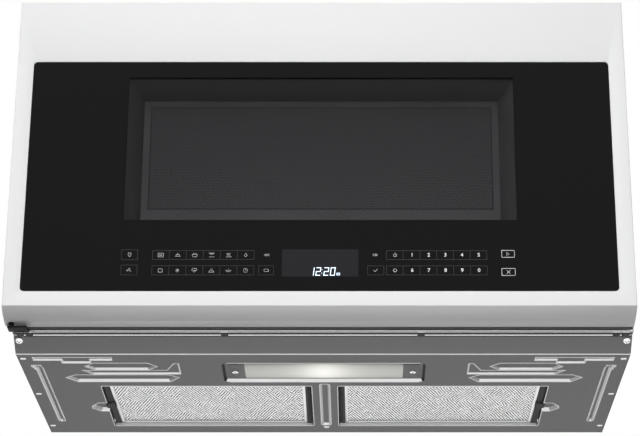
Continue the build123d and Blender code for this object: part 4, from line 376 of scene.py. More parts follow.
@dataclass(frozen=True)
class PrintedGlass(Finish):
    """Black back-printed glass with a clear window and a grey display field."""

    window: Area = (0, 0, 0, 0)
    display: Area = (0, 0, 0, 0)
    clear: Color = (0.80, 0.80, 0.81)
    specular: float = 0.08

    @staticmethod
    def inside(x: Field, z: Field, bounds: Area) -> Field:
        """One inside a rectangle given in millimetres."""
        x0, x1, z0, z1 = mm(*bounds)
        return x.within(x0, x1) * z.within(z0, z1)

    def make(self, tree: Tree) -> Material:
        """Opaque print, clear window, grey display.

        Args:
            tree: the tree, with only its output.

        Returns:
            The finished material.
        """
        x, _, z = tree.axes()
        lit = self.inside(x, z, self.display)
        cells = (x.centred(0.0008) < 0.00006).math("MAXIMUM", z.centred(0.0008) < 0.00006)
        glow = lit * (0.85 + cells * 0.3)
        printed = tree.surface(
            Base_Color=tree.blend(glow, self.color, (0.024, 0.024, 0.028)),
            Roughness=self.roughness, Specular_IOR_Level=self.specular,
        )
        clear = tree.node("ShaderNodeBsdfTransparent", Color=self.clear)
        sheen = tree.node("ShaderNodeBsdfGlossy", Color=(0.5, 0.5, 0.5), Roughness=self.roughness)
        edge = tree.node("ShaderNodeFresnel", IOR=1.12)
        pane = tree.node(
            "ShaderNodeMixShader", Fac=edge.outputs[0], _1=clear.outputs[0], _2=sheen.outputs[0]
        )
        both = tree.node(
            "ShaderNodeMixShader", Fac=self.inside(x, z, self.window), _1=printed.outputs[0],
            _2=pane.outputs[0],
        )
        return tree.close(both)


@dataclass(frozen=True)
class ClearGlass(Finish):
    """Clear glass seen as a tint and a reflection, without bending light."""

    def make(self, tree: Tree) -> Material:
        """Tinted see-through glass.

        Args:
            tree: the tree, with only its output.

        Returns:
            The finished material.
        """
        ripple = tree.noise(35.0, 1.0)
        clear = tree.node("ShaderNodeBsdfTransparent", Color=self.color)
        shine = tree.surface(
            Base_Color=tint(self.color, 0.6), Roughness=self.roughness,
            Normal=tree.bump(ripple, 0.04, 0.001),
        )
        edge = tree.node("ShaderNodeFresnel", IOR=1.45)
        share = tree.field(edge.outputs[0]) * 0.9 + 0.06
        return tree.close(
            tree.node("ShaderNodeMixShader", Fac=share, _1=clear.outputs[0], _2=shine.outputs[0])
        )


@dataclass(frozen=True)
class Perforated(Finish):
    """Dark painted sheet with a triangular lattice of small holes inside a plain border, lighter
    towards its bottom as painted shading.
    """

    field_box: Area = (0, 0, 0, 0)
    pitch: float = 2.5
    hole: float = 0.8
    line: float = 1.5

    def make(self, tree: Tree) -> Material:
        """Painted sheet with a lattice of holes.

        Args:
            tree: the tree, with only its output.

        Returns:
            The finished material.
        """
        x, _, z = tree.axes()
        a, b = self.pitch * MM, self.pitch * MM * math.sqrt(3)
        near = self.spot(x, z, a, b, 0.0)
        off = self.spot(x, z, a, b, 0.5)
        inside = PrintedGlass.inside(x, z, self.field_box)
        hole = (near.math("MINIMUM", off) < (self.hole * MM) ** 2) * inside
        line = inside - PrintedGlass.inside(x, z, self.inner_box())
        shade = tree.noise(14.0)
        tone = hole.math("MAXIMUM", line)
        _, _, z0, z1 = mm(*self.field_box)
        # Painted shading: the sheet is lighter at the bottom of the field and darker at its top.
        painted_shading_rise = (z - z0) / (z1 - z0)
        sheet = tree.blend(painted_shading_rise, tint(self.color, 1.2), tint(self.color, 0.85))
        return tree.coated(
            Base_Color=tree.blend(tone, sheet, tint(self.color, 0.2)),
            Roughness=self.roughness + (shade - 0.5) * 0.1, Normal=tree.bump(1 - hole, 0.5, 0.0003),
        )

    def inner_box(self) -> Area:
        """The lattice's box drawn in by the border line."""
        x0, x1, z0, z1 = self.field_box
        return x0 + self.line, x1 - self.line, z0 + self.line, z1 - self.line

    @staticmethod
    def spot(x: Field, z: Field, a: float, b: float, shift: float) -> Field:
        """The squared distance to the nearest point of one rectangular lattice."""
        dx, dz = x.centred(a, shift), z.centred(b, shift)
        return dx * dx + dz * dz


@dataclass(frozen=True)
class KnittedMesh(Finish):
    """Layers of expanded aluminium mesh: bright strands with slits darkened as painted shade, in
    herringbone patches.
    """

    pitch: float = 4.0
    slope: float = 0.38

    def slits(self, x: Field, y: Field, way: float, jitter: Field) -> Field:
        """How deep a point lies in one set of slanted slits, nought to one."""
        across = x + y * (self.slope * way) + jitter * 0.0022
        return 1 - across.centred(self.pitch * MM) * (2 / (self.pitch * MM))

    def make(self, tree: Tree) -> Material:
        """Slanted slits in patches over uneven strands.

        Args:
            tree: the tree, with only its output.

        Returns:
            The finished material.
        """
        x, y, _ = tree.axes()
        drift = tree.noise(130.0, 3.0, (1.0, 0.5, 1.0)) - 0.5
        share = ((tree.noise(55.0, 1.0, (1.0, 0.45, 1.0)) - 0.5) * 9.0 + 0.25).clamped()
        broken = tree.noise(620.0, 1.0, (1.0, 0.45, 1.0))
        slit = self.slits(x, y, 1.0, drift) * share + self.slits(x, y, -1.0, drift) * (1 - share)
        # Painted shade: the deeper a point lies in a slit, the darker its colour; the same depth
        # drives the bump.
        depth = ((slit - 0.55) * 6.5 + (broken - 0.5) * 5.5).clamped()
        return tree.coated(
            Base_Color=tree.blend(depth, self.color, tint(self.color, 0.03)), Metallic=0.92,
            Roughness=self.roughness + (broken - 0.5) * 0.2,
            Normal=tree.bump(1 - depth, 0.6, 0.0008),
        )


@dataclass(frozen=True)
class LitLens(Finish):
    """A frosted fluted lens lit from behind, brightest in its middle."""

    centre: tuple[float, float] = (0, 0)
    half: tuple[float, float] = (99, 23)
    peak: float = 0.55
    ends: float = 0.23
    strength: float = 1.0

    def make(self, tree: Tree) -> Material:
        """Frosted lens with a warm glow.

        Args:
            tree: the tree, with only its output.

        Returns:
            The finished material.
        """
        x, y, _ = tree.axes()
        dx = abs(x - self.centre[0] * MM) / (self.half[0] * MM)
        dy = abs(y - self.centre[1] * MM) / (self.half[1] * MM)
        glow = (dx * dx * 12.4 + 1).math("DIVIDE", self.peak, flipped=True) + self.ends
        glow = glow * (1 - dy * dy * 0.3)
        flutes = x.centred(0.0022)
        return tree.coated(
            Base_Color=self.color, Roughness=self.roughness,
            Emission_Color=tree.blend(glow, (0.02, 0.02, 0.018), (1.0, 1.0, 0.93)),
            Emission_Strength=self.strength, Normal=tree.bump(flutes, 0.25, 0.0006),
        )


@dataclass(frozen=True)
class Print(Finish):
    """Screen-printed or lit marks on the glass."""

    light: float = 0.0

    def make(self, tree: Tree) -> Material:
        """Flat ink with a faint screen grain.

        Args:
            tree: the tree, with only its output.

        Returns:
            The finished material.
        """
        grain = tree.noise(3000.0, 1.0)
        return tree.coated(
            Base_Color=tree.blend(grain, tint(self.color, 0.93), self.color),
            Roughness=self.roughness, Emission_Color=self.color, Emission_Strength=self.light,
        )


@dataclass(frozen=True)
class CircuitBoard(Finish):
    """Green board with darker and lighter copper tracks under its mask."""

    def make(self, tree: Tree) -> Material:
        """Solder mask over tracks.

        Args:
            tree: the tree, with only its output.

        Returns:
            The finished material.
        """
        x, y, z = tree.axes()
        rows = (x.centred(0.0026) < 0.00035).math("MAXIMUM", (y + z).centred(0.0041) < 0.0004)
        patch = tree.noise(120.0) > 0.5
        tracks = rows * patch
        return tree.coated(
            Base_Color=tree.blend(tracks, self.color, tint(self.color, 1.9)),
            Roughness=self.roughness, Normal=tree.bump(tracks, 0.4, 0.0001),
        )


@dataclass(frozen=True)
class Laminated(Finish):
    """Varnished core plates in thin layers, with copper where the windings are."""

    winding: Color = (0.45, 0.19, 0.07)

    def make(self, tree: Tree) -> Material:
        """Stacked plates and wound copper.

        Args:
            tree: the tree, with only its output.

        Returns:
            The finished material.
        """
        x, y, z = tree.axes()
        layers = x.centred(0.0009) / 0.00045
        turns = z.centred(0.0011) / 0.00055
        cloud = tree.noise(60.0)
        wound = cloud > 0.52
        tone = layers * (1 - wound) + turns * wound
        color = tree.blend(wound, self.color, self.winding)
        return tree.coated(
            Base_Color=tree.blend(tone * 0.5, color, (0.02, 0.015, 0.01)), Roughness=self.roughness,
            Normal=tree.bump(tone, 0.3, 0.0002),
        )


WHITE = Enamel("white_enamel", (0.86, 0.86, 0.865), 0.28, peel=0.03)
CASE_WHITE = Enamel("case_enamel", (0.80, 0.80, 0.805), 0.36, peel=0.05)
GREY = Enamel("grey_base_paint", (0.275, 0.275, 0.275), 0.5, peel=0.03, specular=0.2)
CAVITY = Enamel("speckled_enamel", (0.115, 0.115, 0.12), 0.3, specks=0.55)
# Black paint of the hinge brackets; also laid as painted shade in the screws' cross recesses and on
# the side slopes at the ends of the light's well.
BLACK_PAINT_AND_SHADE = Enamel("black_paint_and_painted_shade", (0.008, 0.008, 0.008), 0.5, specular=0.15)
BLACK = Moulding("black_moulding", (0.022, 0.022, 0.023), 0.45)
RECESS = Moulding("recess_moulding", (0.10, 0.10, 0.10), 0.5, grain=0.05, specular=0.3)
WHITE_PLASTIC = Moulding("white_moulding", (0.78, 0.78, 0.78), 0.42)
NYLON = Moulding("natural_nylon", (0.70, 0.69, 0.64), 0.5)
CHARCOAL = Moulding("charcoal_pad", (0.02, 0.02, 0.02), 0.9, grain=0.9)
MICA = Moulding("mica_sheet", (0.42, 0.36, 0.27), 0.35, grain=0.4)
CERAMIC = Moulding("white_ceramic", (0.82, 0.80, 0.76), 0.25)
ZINC = Metal("zinc_plate", (0.60, 0.61, 0.62), 0.32, spangle=0.35)
BRIGHT = Metal("bright_trim", (0.95, 0.95, 0.95), 0.22, spangle=0.0)
# Painted shade: near-black paint on the trim's flat and on the rib faces turned away from the
# light.
PAINTED_TRIM_SHADE = Metal("painted_trim_shade", (0.05, 0.05, 0.05), 0.4, spangle=0.0)
ALUMINIUM = Metal("bare_aluminium", (0.80, 0.80, 0.81), 0.3, spangle=0.0)
# Painted highlight: bright paint on the base's emboss slopes, flat borders and fold, standing in
# for light caught on the creases.
PAINTED_CREASE_HIGHLIGHT = Metal("painted_crease_highlight", (0.86, 0.86, 0.86), 0.3, spangle=0.0, metallic=0.5)
# Painted highlight: near-white paint on the front-facing rear wall of each filter opening, which
# lies in shade.
PAINTED_HEM_HIGHLIGHT = Metal("painted_hem_highlight", (0.95, 0.95, 0.95), 0.4, spangle=0.0, metallic=0.05)
SCREW = Metal("plated_screw", (0.95, 0.95, 0.95), 0.25, spangle=0.0)
SHEATH = Metal("heater_sheath", (0.10, 0.09, 0.085), 0.5, spangle=0.2)
CLEAR = ClearGlass("clear_glass", (0.82, 0.87, 0.85), 0.04)
MESH = KnittedMesh("aluminium_mesh", (0.98, 0.98, 0.98), 0.4)
INK = Print("white_legend", (0.86, 0.86, 0.87), 0.5)
FAINT = Print("faint_key_line", (0.055, 0.055, 0.057), 0.5)
DIGITS = Print("lit_digit", (0.80, 0.90, 1.0), 0.4, light=0.85)
BOARD = CircuitBoard("circuit_board", (0.015, 0.10, 0.04), 0.35)
CORE = Laminated("laminated_core", (0.09, 0.055, 0.035), 0.45)


# ---- modelling ----
class Bench:
    """Adds primitives at their place and shapes them with the usual operators."""

    @staticmethod
    def pick(*pieces: Piece) -> None:
        """Selects only these pieces, the first one active.

        Args:
            pieces: the pieces.
        """
        bpy.ops.object.select_all(action="DESELECT")
        for piece in pieces:
            piece.select_set(True)
        bpy.context.view_layer.objects.active = pieces[0]

    @staticmethod
    def settle(name: str) -> Piece:
        """Names the new object and puts its place into its mesh.

        Args:
            name: its name.

        Returns:
            The new piece.
        """
        piece = bpy.context.object
        piece.name = name
        Bench.pick(piece)
        bpy.ops.object.transform_apply(location=True, rotation=True, scale=True)
        return piece

    @staticmethod
    def box(name: str, low: Sequence[float], high: Sequence[float]) -> Piece:
        """A box between two corners, in millimetres.

        Args:
            name: the piece's name.
            low: its lowest corner.
            high: its highest corner.

        Returns:
            The new piece.
        """
        bpy.ops.object.select_all(action="DESELECT")
        low, high = Vector(low) * MM, Vector(high) * MM
        bpy.ops.mesh.primitive_cube_add(size=1, location=(low + high) / 2, scale=high - low)
        return Bench.settle(name)

    @staticmethod
    def rod(
        name: str, radius: float, length: float, centre: Sequence[float],
        turn: Sequence[float] = (0, 0, 0), sides: int = 32,
    ) -> Piece:
        """A round bar by its radius, length and centre, in millimetres.

        Args:
            name: the piece's name.
            radius: the bar's radius.
            length: the bar's length, along Z before it is turned.
            centre: the bar's middle.
            turn: Euler angles in radians.
            sides: how many sides the circle has.

        Returns:
            The new piece.
        """
        bpy.ops.object.select_all(action="DESELECT")
        bpy.ops.mesh.primitive_cylinder_add(
            vertices=sides, radius=radius * MM, depth=length * MM, location=mm(*centre),
            rotation=turn,
        )
        return Bench.settle(name)

    @staticmethod
    @contextmanager
    def editing(piece: Piece, mode: str = "FACE") -> Iterator[None]:
        """Edit mode for one piece with nothing selected.

        Args:
            piece: the piece.
            mode: what is selected: VERT, EDGE or FACE.

        Returns:
            A context that leaves edit mode at its end.
        """
        Bench.pick(piece)
        bpy.ops.object.mode_set(mode="EDIT")
        bpy.ops.mesh.select_mode(type=mode)
        bpy.ops.mesh.select_all(action="DESELECT")
        yield
        bpy.ops.object.mode_set(mode="OBJECT")

    @staticmethod
    def faces(piece: Piece, rule: Rule) -> None:
        """Selects the faces whose centre (in millimetres) and normal satisfy the rule.

        Args:
            piece: the piece being edited.
            rule: takes a face's centre and normal.
        """
        mesh = bmesh.from_edit_mesh(piece.data)
        for face in mesh.faces:
            if not face.hide:
                face.select_set(rule(face.calc_center_median() / MM, face.normal))
        bmesh.update_edit_mesh(piece.data)

    @staticmethod
    def stretch(piece: Piece, factors: Sequence[float]) -> None:
        """Scales a piece's mesh about the origin.

        Args:
            piece: the piece.
            factors: a factor for each axis.
        """
        piece.scale = factors
        Bench.pick(piece)
        bpy.ops.object.transform_apply(location=False, rotation=False, scale=True)

    @staticmethod
    def paint(slot: int) -> None:
        """Gives the selected faces of the piece being edited a material slot."""
        bpy.context.object.active_material_index = slot
        bpy.ops.object.material_slot_assign()

    @staticmethod
    def edges(piece: Piece, rule: Rule) -> None:
        """Selects the edges whose two ends (in millimetres) satisfy the rule.

        Args:
            piece: the piece being edited.
            rule: takes an edge's two ends.
        """
        mesh = bmesh.from_edit_mesh(piece.data)
        for edge in mesh.edges:
            edge.select_set(rule(edge.verts[0].co / MM, edge.verts[1].co / MM))
        bmesh.update_edit_mesh(piece.data)

    @staticmethod
    def apply(piece: Piece, kind: str, **settings: object) -> None:
        """Adds a modifier with its settings and applies it.

        Args:
            piece: the piece.
            kind: the modifier's type.
            settings: its properties.
        """
        Bench.pick(piece)
        modifier = piece.modifiers.new(kind.lower(), kind)
        for key, value in settings.items():
            setattr(modifier, key, value)
        bpy.ops.object.modifier_apply(modifier=modifier.name)

    @staticmethod
    def soften(
        piece: Piece, width: float, parts: int = 2, angle: float = 35.0, slot: int = -1
    ) -> None:
        """Rounds a piece's sharp edges.

        Args:
            piece: the piece.
            width: the rounding's width, in millimetres.
            parts: how many faces across the rounding.
            angle: edges that turn more than this many degrees are rounded.
            slot: the material slot of the new faces, or -1 for their neighbours'.
        """
        Bench.apply(
            piece, "BEVEL", width=width * MM, segments=parts, limit_method="ANGLE",
            angle_limit=math.radians(angle), material=slot, miter_outer="MITER_ARC",
        )
        Bench.smooth(piece)

    @staticmethod
    def smooth(piece: Piece, angle: float = 32.0) -> None:
        """Smooth shading up to an angle."""
        Bench.pick(piece)
        bpy.ops.object.shade_smooth_by_angle(angle=math.radians(angle))

    @staticmethod
    def merge(name: str, pieces: Sequence[Piece]) -> Piece:
        """Joins pieces into the first one and names it.

        Args:
            name: the new name.
            pieces: the pieces.

        Returns:
            The joined piece.
        """
        Bench.pick(*pieces)
        bpy.ops.object.join()
        pieces[0].name = name
        return pieces[0]

    @staticmethod
    def from_node(node: str, name: str, whole: bool = True) -> Piece:
        """A clean copy of a CAD node's mesh, merged.

        Args:
            node: the CAD node.
            name: the copy's name.
            whole: whether its flat faces are joined up.

        Returns:
            The copy.
        """
        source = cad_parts[node]
        piece = bpy.data.objects.new(name, source.data.copy())
        bpy.context.scene.collection.objects.link(piece)
        Bench.pick(piece)
        bpy.ops.mesh.customdata_custom_splitnormals_clear()
        with Bench.editing(piece, "VERT"):
            bpy.ops.mesh.select_all(action="SELECT")
            bpy.ops.mesh.remove_doubles(threshold=2e-6)
            if whole:
                bpy.ops.mesh.dissolve_limited(angle_limit=math.radians(0.6))
        return piece


def dress(
    piece: Piece, body: str, slot: str, finish: Finish, *nodes: str, also: Sequence[Finish] = ()
) -> Piece:
    """Gives a piece its body, its finish and the nodes it stands for.

    Args:
        piece: the finished piece.
        body: the CAD body it moves with.
        slot: the record's material slot; not used.
        finish: its finish.
        nodes: the CAD nodes that it replaces.
        also: finishes of its further slots.

    Returns:
        The same piece.
    """
    piece.data.materials.clear()
    for each in (finish, *also):
        piece.data.materials.append(each.material())
    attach(piece, body)
    if nodes:
        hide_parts(*nodes)
    log.info("%s rides on %s, %d faces", piece.name, body, len(piece.data.polygons))
    return piece


def coat(node: str, finish: Finish) -> None:
    """Gives a CAD node that stays its finish.

    Args:
        node: the CAD node.
        finish: its finish.
    """
    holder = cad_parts[node]
    holder.data.materials.clear()
    holder.data.materials.append(finish.material())
    log.info("%s keeps its CAD mesh, finish %s", node, finish.name)


@dataclass(frozen=True)
class Rounded:
    """A CAD node redrawn with rounded edges: its node, body, slot, finish and edge width."""

    node: str
    body: str
    slot: str
    finish: Finish
    width: float
    angle: float = 35.0

    def build(self) -> Piece:
        """Makes the rounded copy that stands for the node.

        Returns:
            The copy.
        """
        piece = Bench.from_node(self.node, f"{self.node}_surface")
        Bench.soften(piece, self.width, 2, self.angle)
        return dress(piece, self.body, self.slot, self.finish, self.node)


def finish_nodes(rounded: Sequence[Rounded], kept: dict[Finish, str]) -> None:
    """Redraws some CAD nodes rounded, and gives others their finish.

    Args:
        rounded: the nodes to redraw.
        kept: the names of the nodes that stay, under each finish.
    """
    for part in rounded:
        part.build()
    for finish, nodes in kept.items():
        for node in nodes.split():
            coat(node, finish)


# ---- door ----
class Mark(Enum):
    """The generic marks on the touch keys: lines through points on a 10 by 6 field."""

    LAMP = "6,1 4,1 3,3 3,6 7,6 7,3 6,1; 4,0 6,0"
    FAN = "2,3.6 2,1.6 5,3 5,6 7,5; 5,3 8,1.6 7,0.2"
    OVEN = "9,6 1,6 1,0 9,0 9,6; 3,2 7,2; 3,3.6 7,3.6"
    ROAST = "1,1 9,1; 2,1 3,4 7,4 8,1; 5,4 5,6"
    CRISP = "9,4 1,4 2,0 8,0 9,4; 3,4 3,6; 5,4 5,6; 7,4 7,6"
    GRILL = "1,6 9,6; 2,6 3.5,3.6 5,6 6.5,3.6 8,6; 1,0 9,0"
    STEAM = "1,0 9,0; 3,2 2.2,4 3,6; 5,2 4.2,4 5,6; 7,2 6.2,4 7,6"
    DROP = "5,6 3,2.4 3.8,0.6 6.2,0.6 7,2.4 5,6"
    BAG = "8,5 6.5,6 5,5 3.5,6 2,5 2,0 8,0 8,5"
    FLAKE = "5,0 5,6; 2.4,1.5 7.6,4.5; 7.6,1.5 2.4,4.5"
    MELT = "9,3 8,6 2,6 1,3 9,3; 3,3 3,1; 5,3 5,0; 7,3 7,1.6"
    WARM = "7.6,2.4 2.4,2.4 1,0 9,0 7.6,2.4; 4,4 4,6; 6,4 6,6"
    PLATE = "1,3 3,1 7,1 9,3 1,3; 5,4.4 5,6"
    CLOCK = "3,0 7,0 8,3 7,6 3,6 2,3 3,0; 6.6,3 5,3 5,5"
    TURN = "2,1 8,1 9,3 7,5 3,5 1.6,3 0.8,4; 1.6,3 2.8,3.6"
    TICK = "2,3 4,1 8,5.4"
    TIMER = "5,0 7.4,1.2 7.4,4 5,5 2.6,4 2.6,1.2 5,0; 4,6.2 6,6.2; 5,2.4 6,3.6"
    GEAR = "3,1 7,1 7,5 3,5 3,1; 5,5 5,6; 5,0 5,1; 1.6,3 3,3; 7,3 8.4,3"

    def strokes(self) -> Iterator[Area]:
        """The two ends of each stroke.

        Returns:
            The strokes, each as two points.
        """
        for line in self.value.split(";"):
            points = [tuple(map(float, point.split(","))) for point in line.split()]
            for start, end in zip(points, points[1:]):
                yield (*start, *end)


@dataclass
class TouchKeys:
    """The printed keys, numbers and the lit clock on the glass, in millimetres.

    Heights count from the door's front bottom edge.
    """

    face: float
    base: float
    depth: float = 0.08
    stroke: float = 0.32
    pieces: list[Piece] = field(default_factory=list)

    def bar(self, x0: float, z0: float, x1: float, z1: float, width: float) -> None:
        """Adds one straight stroke between two points.

        Args:
            x0, z0: its first end.
            x1, z1: its second end.
            width: its width.
        """
        run = math.hypot(x1 - x0, z1 - z0) + width * 0.9
        bpy.ops.object.select_all(action="DESELECT")
        bpy.ops.mesh.primitive_cube_add(
            size=1,
            location=mm((x0 + x1) / 2, self.face - self.depth / 2, self.base + (z0 + z1) / 2),
            rotation=(0, -math.atan2(z1 - z0, x1 - x0), 0), scale=mm(run, self.depth, width),
        )
        self.pieces.append(Bench.settle("stroke"))

    def outline(self, x0: float, x1: float, z0: float, z1: float, width: float) -> None:
        """Adds the four sides of a rectangle.

        Args:
            x0, x1: its sides.
            z0, z1: its bottom and top.
            width: the line's width.
        """
        h = width / 2
        for a, b, c, d in (
            (x0 + h, z0 + h, x1 - h, z0 + h),
            (x0 + h, z1 - h, x1 - h, z1 - h),
            (x0 + h, z0 + h, x0 + h, z1 - h),
            (x1 - h, z0 + h, x1 - h, z1 - h),
        ):
            self.bar(a, b, c, d, width)

    def mark(self, what: Mark, x: float, z: float, width: float = 8.0) -> None:
        """Adds a generic mark centred on a point.

        Args:
            what: the mark.
            x, z: its middle.
            width: its width.
        """
        unit = width / 10
        for x0, z0, x1, z1 in what.strokes():
            self.bar(
                x + (x0 - 5) * unit, z + (z0 - 3) * unit, x + (x1 - 5) * unit, z + (z1 - 3) * unit,
                self.stroke,
            )

    def write(self, words: str, x: float, z: float, height: float, weight: float = 0.0) -> None:
        """Adds figures centred on a point, a given height tall.

        Args:
            words: the figures.
            x, z: their middle.
            height: their height.
            weight: how far their strokes are widened.
        """
        bpy.ops.object.select_all(action="DESELECT")
        place = mm(x, self.face - self.depth / 2, self.base + z)
        bpy.ops.object.text_add(location=place, rotation=(math.pi / 2, 0, 0))
        text = bpy.context.object
        text.data.body = words
        text.data.align_x = "CENTER"
        text.data.align_y = "CENTER"
        text.data.size = height * 1.39 * MM
        text.data.extrude = self.depth * MM / 2
        text.data.offset = weight * MM
        bpy.ops.object.convert(target="MESH")
        self.pieces.append(Bench.settle("figure"))

    def triangle(self, x: float, z: float, side: float, way: int) -> None:
        """Adds an open arrowhead that points left or right.

        Args:
            x, z: its middle.
            side: its size.
            way: 1 for right, -1 for left.
        """
        tip = x + way * side * 0.5
        tail = x - way * side * 0.5
        for a, b, c, d in (
            (tail, z - side * 0.6, tip, z),
            (tip, z, tail, z + side * 0.6),
            (tail, z + side * 0.6, tail, z - side * 0.6),
        ):
            self.bar(a, b, c, d, self.stroke)

    def finish(self, name: str, ink: Finish) -> Piece:
        """Joins what was added since the last call and dresses it.

        Args:
            name: the piece's name.
            ink: its finish.

        Returns:
            The piece.
        """
        piece = Bench.merge(name, self.pieces)
        self.pieces = []
        return dress(piece, "door", "display_black", ink)

    def segments(self, digit: str, x: float, z: float, height: float) -> None:
        """Adds a seven-segment figure with its lower left corner at a point.

        Args:
            digit: the figure.
            x, z: the corner.
            height: its height.
        """
        lit = {"1": "bc", "2": "abged", "0": "abcdef"}[digit]
        w, h, lean = height * 0.5, height / 2, 0.6
        ends = {
            "a": (0, 2, 1, 2), "b": (1, 1, 1, 2), "c": (1, 0, 1, 1), "d": (0, 0, 1, 0),
            "e": (0, 0, 0, 1), "f": (0, 1, 0, 2), "g": (0, 1, 1, 1),
        }
        for key in lit:
            x0, z0, x1, z1 = ends[key]
            self.bar(x + x0 * w + z0 * lean, z + z0 * h, x + x1 * w + z1 * lean, z + z1 * h, 0.95)

    def build(self) -> None:
        """Builds every printed and lit mark."""
        columns = [-202.0 + 20.5 * (index + 0.5) for index in range(6)]
        upper, lower = 64.7, 44.9
        rows = (
            (upper, (Mark.OVEN, Mark.ROAST, Mark.CRISP, Mark.GRILL, Mark.STEAM, Mark.DROP)),
            (lower, (Mark.BAG, Mark.FLAKE, Mark.MELT, Mark.WARM, Mark.PLATE, Mark.CLOCK)),
        )
        for z, marks in rows:
            for x, what in zip(columns, marks):
                self.mark(what, x, z)
        self.mark(Mark.LAMP, -229.4, 65.0)
        self.mark(Mark.FAN, -229.4, 45.3)
        self.mark(Mark.TURN, -64.4, lower)
        self.mark(Mark.TICK, 67.5, lower)
        self.mark(Mark.TIMER, 90.7, upper)
        self.mark(Mark.GEAR, 90.7, lower)
        for way, x in ((-1, -64.0), (1, 67.0)):
            self.triangle(x - 1.5, 64.8, 2.4, way)
            self.triangle(x + 1.5, 64.8, 2.4, way)
        for index in range(10):
            x = 101.3 + 20.1 * (index % 5 + 0.5)
            self.write(str((index + 1) % 10), x, upper if index < 5 else lower, 4.6, 0.12)
        self.outline(219.2, 235.1, 61.4, 70.9, 0.6)
        self.outline(218.9, 235.5, 38.0, 47.6, 0.6)
        self.triangle(227.1, 66.1, 3.2, 1)
        self.bar(225.2, 40.8, 229.2, 44.8, 0.5)
        self.bar(225.2, 44.8, 229.2, 40.8, 0.5)
        self.finish("key_legends", INK)
        for x0, x1, z0, z1, cells in (
            (-239.3, -219.5, 58.4, 71.7, 1),
            (-239.3, -219.5, 38.8, 51.9, 1),
            (-202.0, -79.0, 58.8, 70.7, 6),
            (-202.0, -79.0, 38.8, 51.0, 6),
            (-73.7, -55.2, 38.8, 51.0, 1),
            (57.6, 77.4, 38.8, 51.0, 1),
            (80.2, 201.7, 58.6, 70.5, 6),
            (80.2, 201.7, 38.8, 50.8, 6),
        ):
            self.outline(x0, x1, z0, z1, 0.35)
            for cell in range(1, cells):
                x = x0 + (x1 - x0) * cell / cells
                self.bar(x, z0, x, z1, 0.35)
        self.finish("key_borders", FAINT)
        for digit, x in (("1", -12.4), ("2", -4.6), ("2", 5.0), ("0", 12.8)):
            self.segments(digit, x, 38.6, 9.6)
        for z in (41.2, 45.8):
            self.bar(2.6, z, 2.7, z, 0.9)
        self.outline(20.4, 24.4, 38.6, 41.6, 0.7)
        self.finish("clock_figures", DIGITS)


@dataclass
class Door:
    """The door: frame, printed glass, window recess, screen, keys and inner side."""

    corner: float = 5.0
    window_half: float = 239.4
    window_low: float = 110.5
    window_high: float = 302.6
    display: Area = (-45.5, 46.5, 37.0, 72.0)
    base: float = 33.4

    def glass(self) -> Piece:
        """The glass pane with round corners and ground edges.

        Returns:
            The pane.
        """
        low, high = limits("door_glass")
        pane = Bench.box("door_pane", low, high)
        with Bench.editing(pane, "EDGE"):
            Bench.edges(pane, lambda a, b: abs(a.y - b.y) > 1)
            bpy.ops.mesh.bevel(offset=self.corner * MM, segments=8)
        Bench.soften(pane, 0.5, 3, 50)
        window = (
            -self.window_half, self.window_half, self.base + self.window_low,
            self.base + self.window_high,
        )
        x0, x1, z0, z1 = self.display
        finish = PrintedGlass(
            "printed_glass",
            (0.0065, 0.0065, 0.007),
            0.06,
            window=window,
            display=(x0, x1, z0 + self.base, z1 + self.base),
        )
        return dress(pane, "door", "black_glass", finish, "door_glass")

    def screen(self) -> Piece:
        """The perforated screen with its raised border.

        Returns:
            The sheet.
        """
        low, high = limits("window_screen")
        sheet = Bench.box("perforated_screen", low, high)
        with Bench.editing(sheet):
            Bench.faces(sheet, lambda c, n: n.y < -0.9)
            bpy.ops.mesh.inset(thickness=8.5 * MM, depth=0)
            bpy.ops.mesh.inset(thickness=1.2 * MM, depth=-0.35 * MM)
        Bench.soften(sheet, 0.12, 1, 20)
        finish = Perforated(
            "perforated_black_sheet",
            (0.073, 0.073, 0.073),
            0.5,
            field_box=(low.x + 9.0, high.x - 9.0, low.z + 25.0, high.z - 9.0),
        )
        return dress(sheet, "door", "dark_screen", finish, "window_screen")

    def build(self) -> None:
        """Builds the door's pieces and dresses its CAD nodes."""
        self.glass()
        self.screen()
        face = limits("door_glass")[0].y
        TouchKeys(face, self.base).build()
        rounded = (
            Rounded("door_frame", "door", "white_paint", WHITE, 0.5, 50),
            Rounded("window_bezel", "door", "black_moulding", RECESS, 0.5),
            Rounded("choke_panel", "door", "cavity_enamel", CAVITY, 0.7),
            Rounded("choke_cover", "door", "black_moulding", BLACK, 0.6),
            Rounded("door_back_cover", "door", "black_moulding", BLACK, 0.5),
            Rounded("inner_window", "door", "clear_glass", CLEAR, 0.4),
            Rounded("door_latch", "door_latch", "nylon", NYLON, 0.5),
        )
        kept = {
            NYLON: "hinge_bushes", ZINC: "latch_spring",
            BLACK: "display_module", BOARD: "control_boards",
        }
        finish_nodes(rounded, kept)


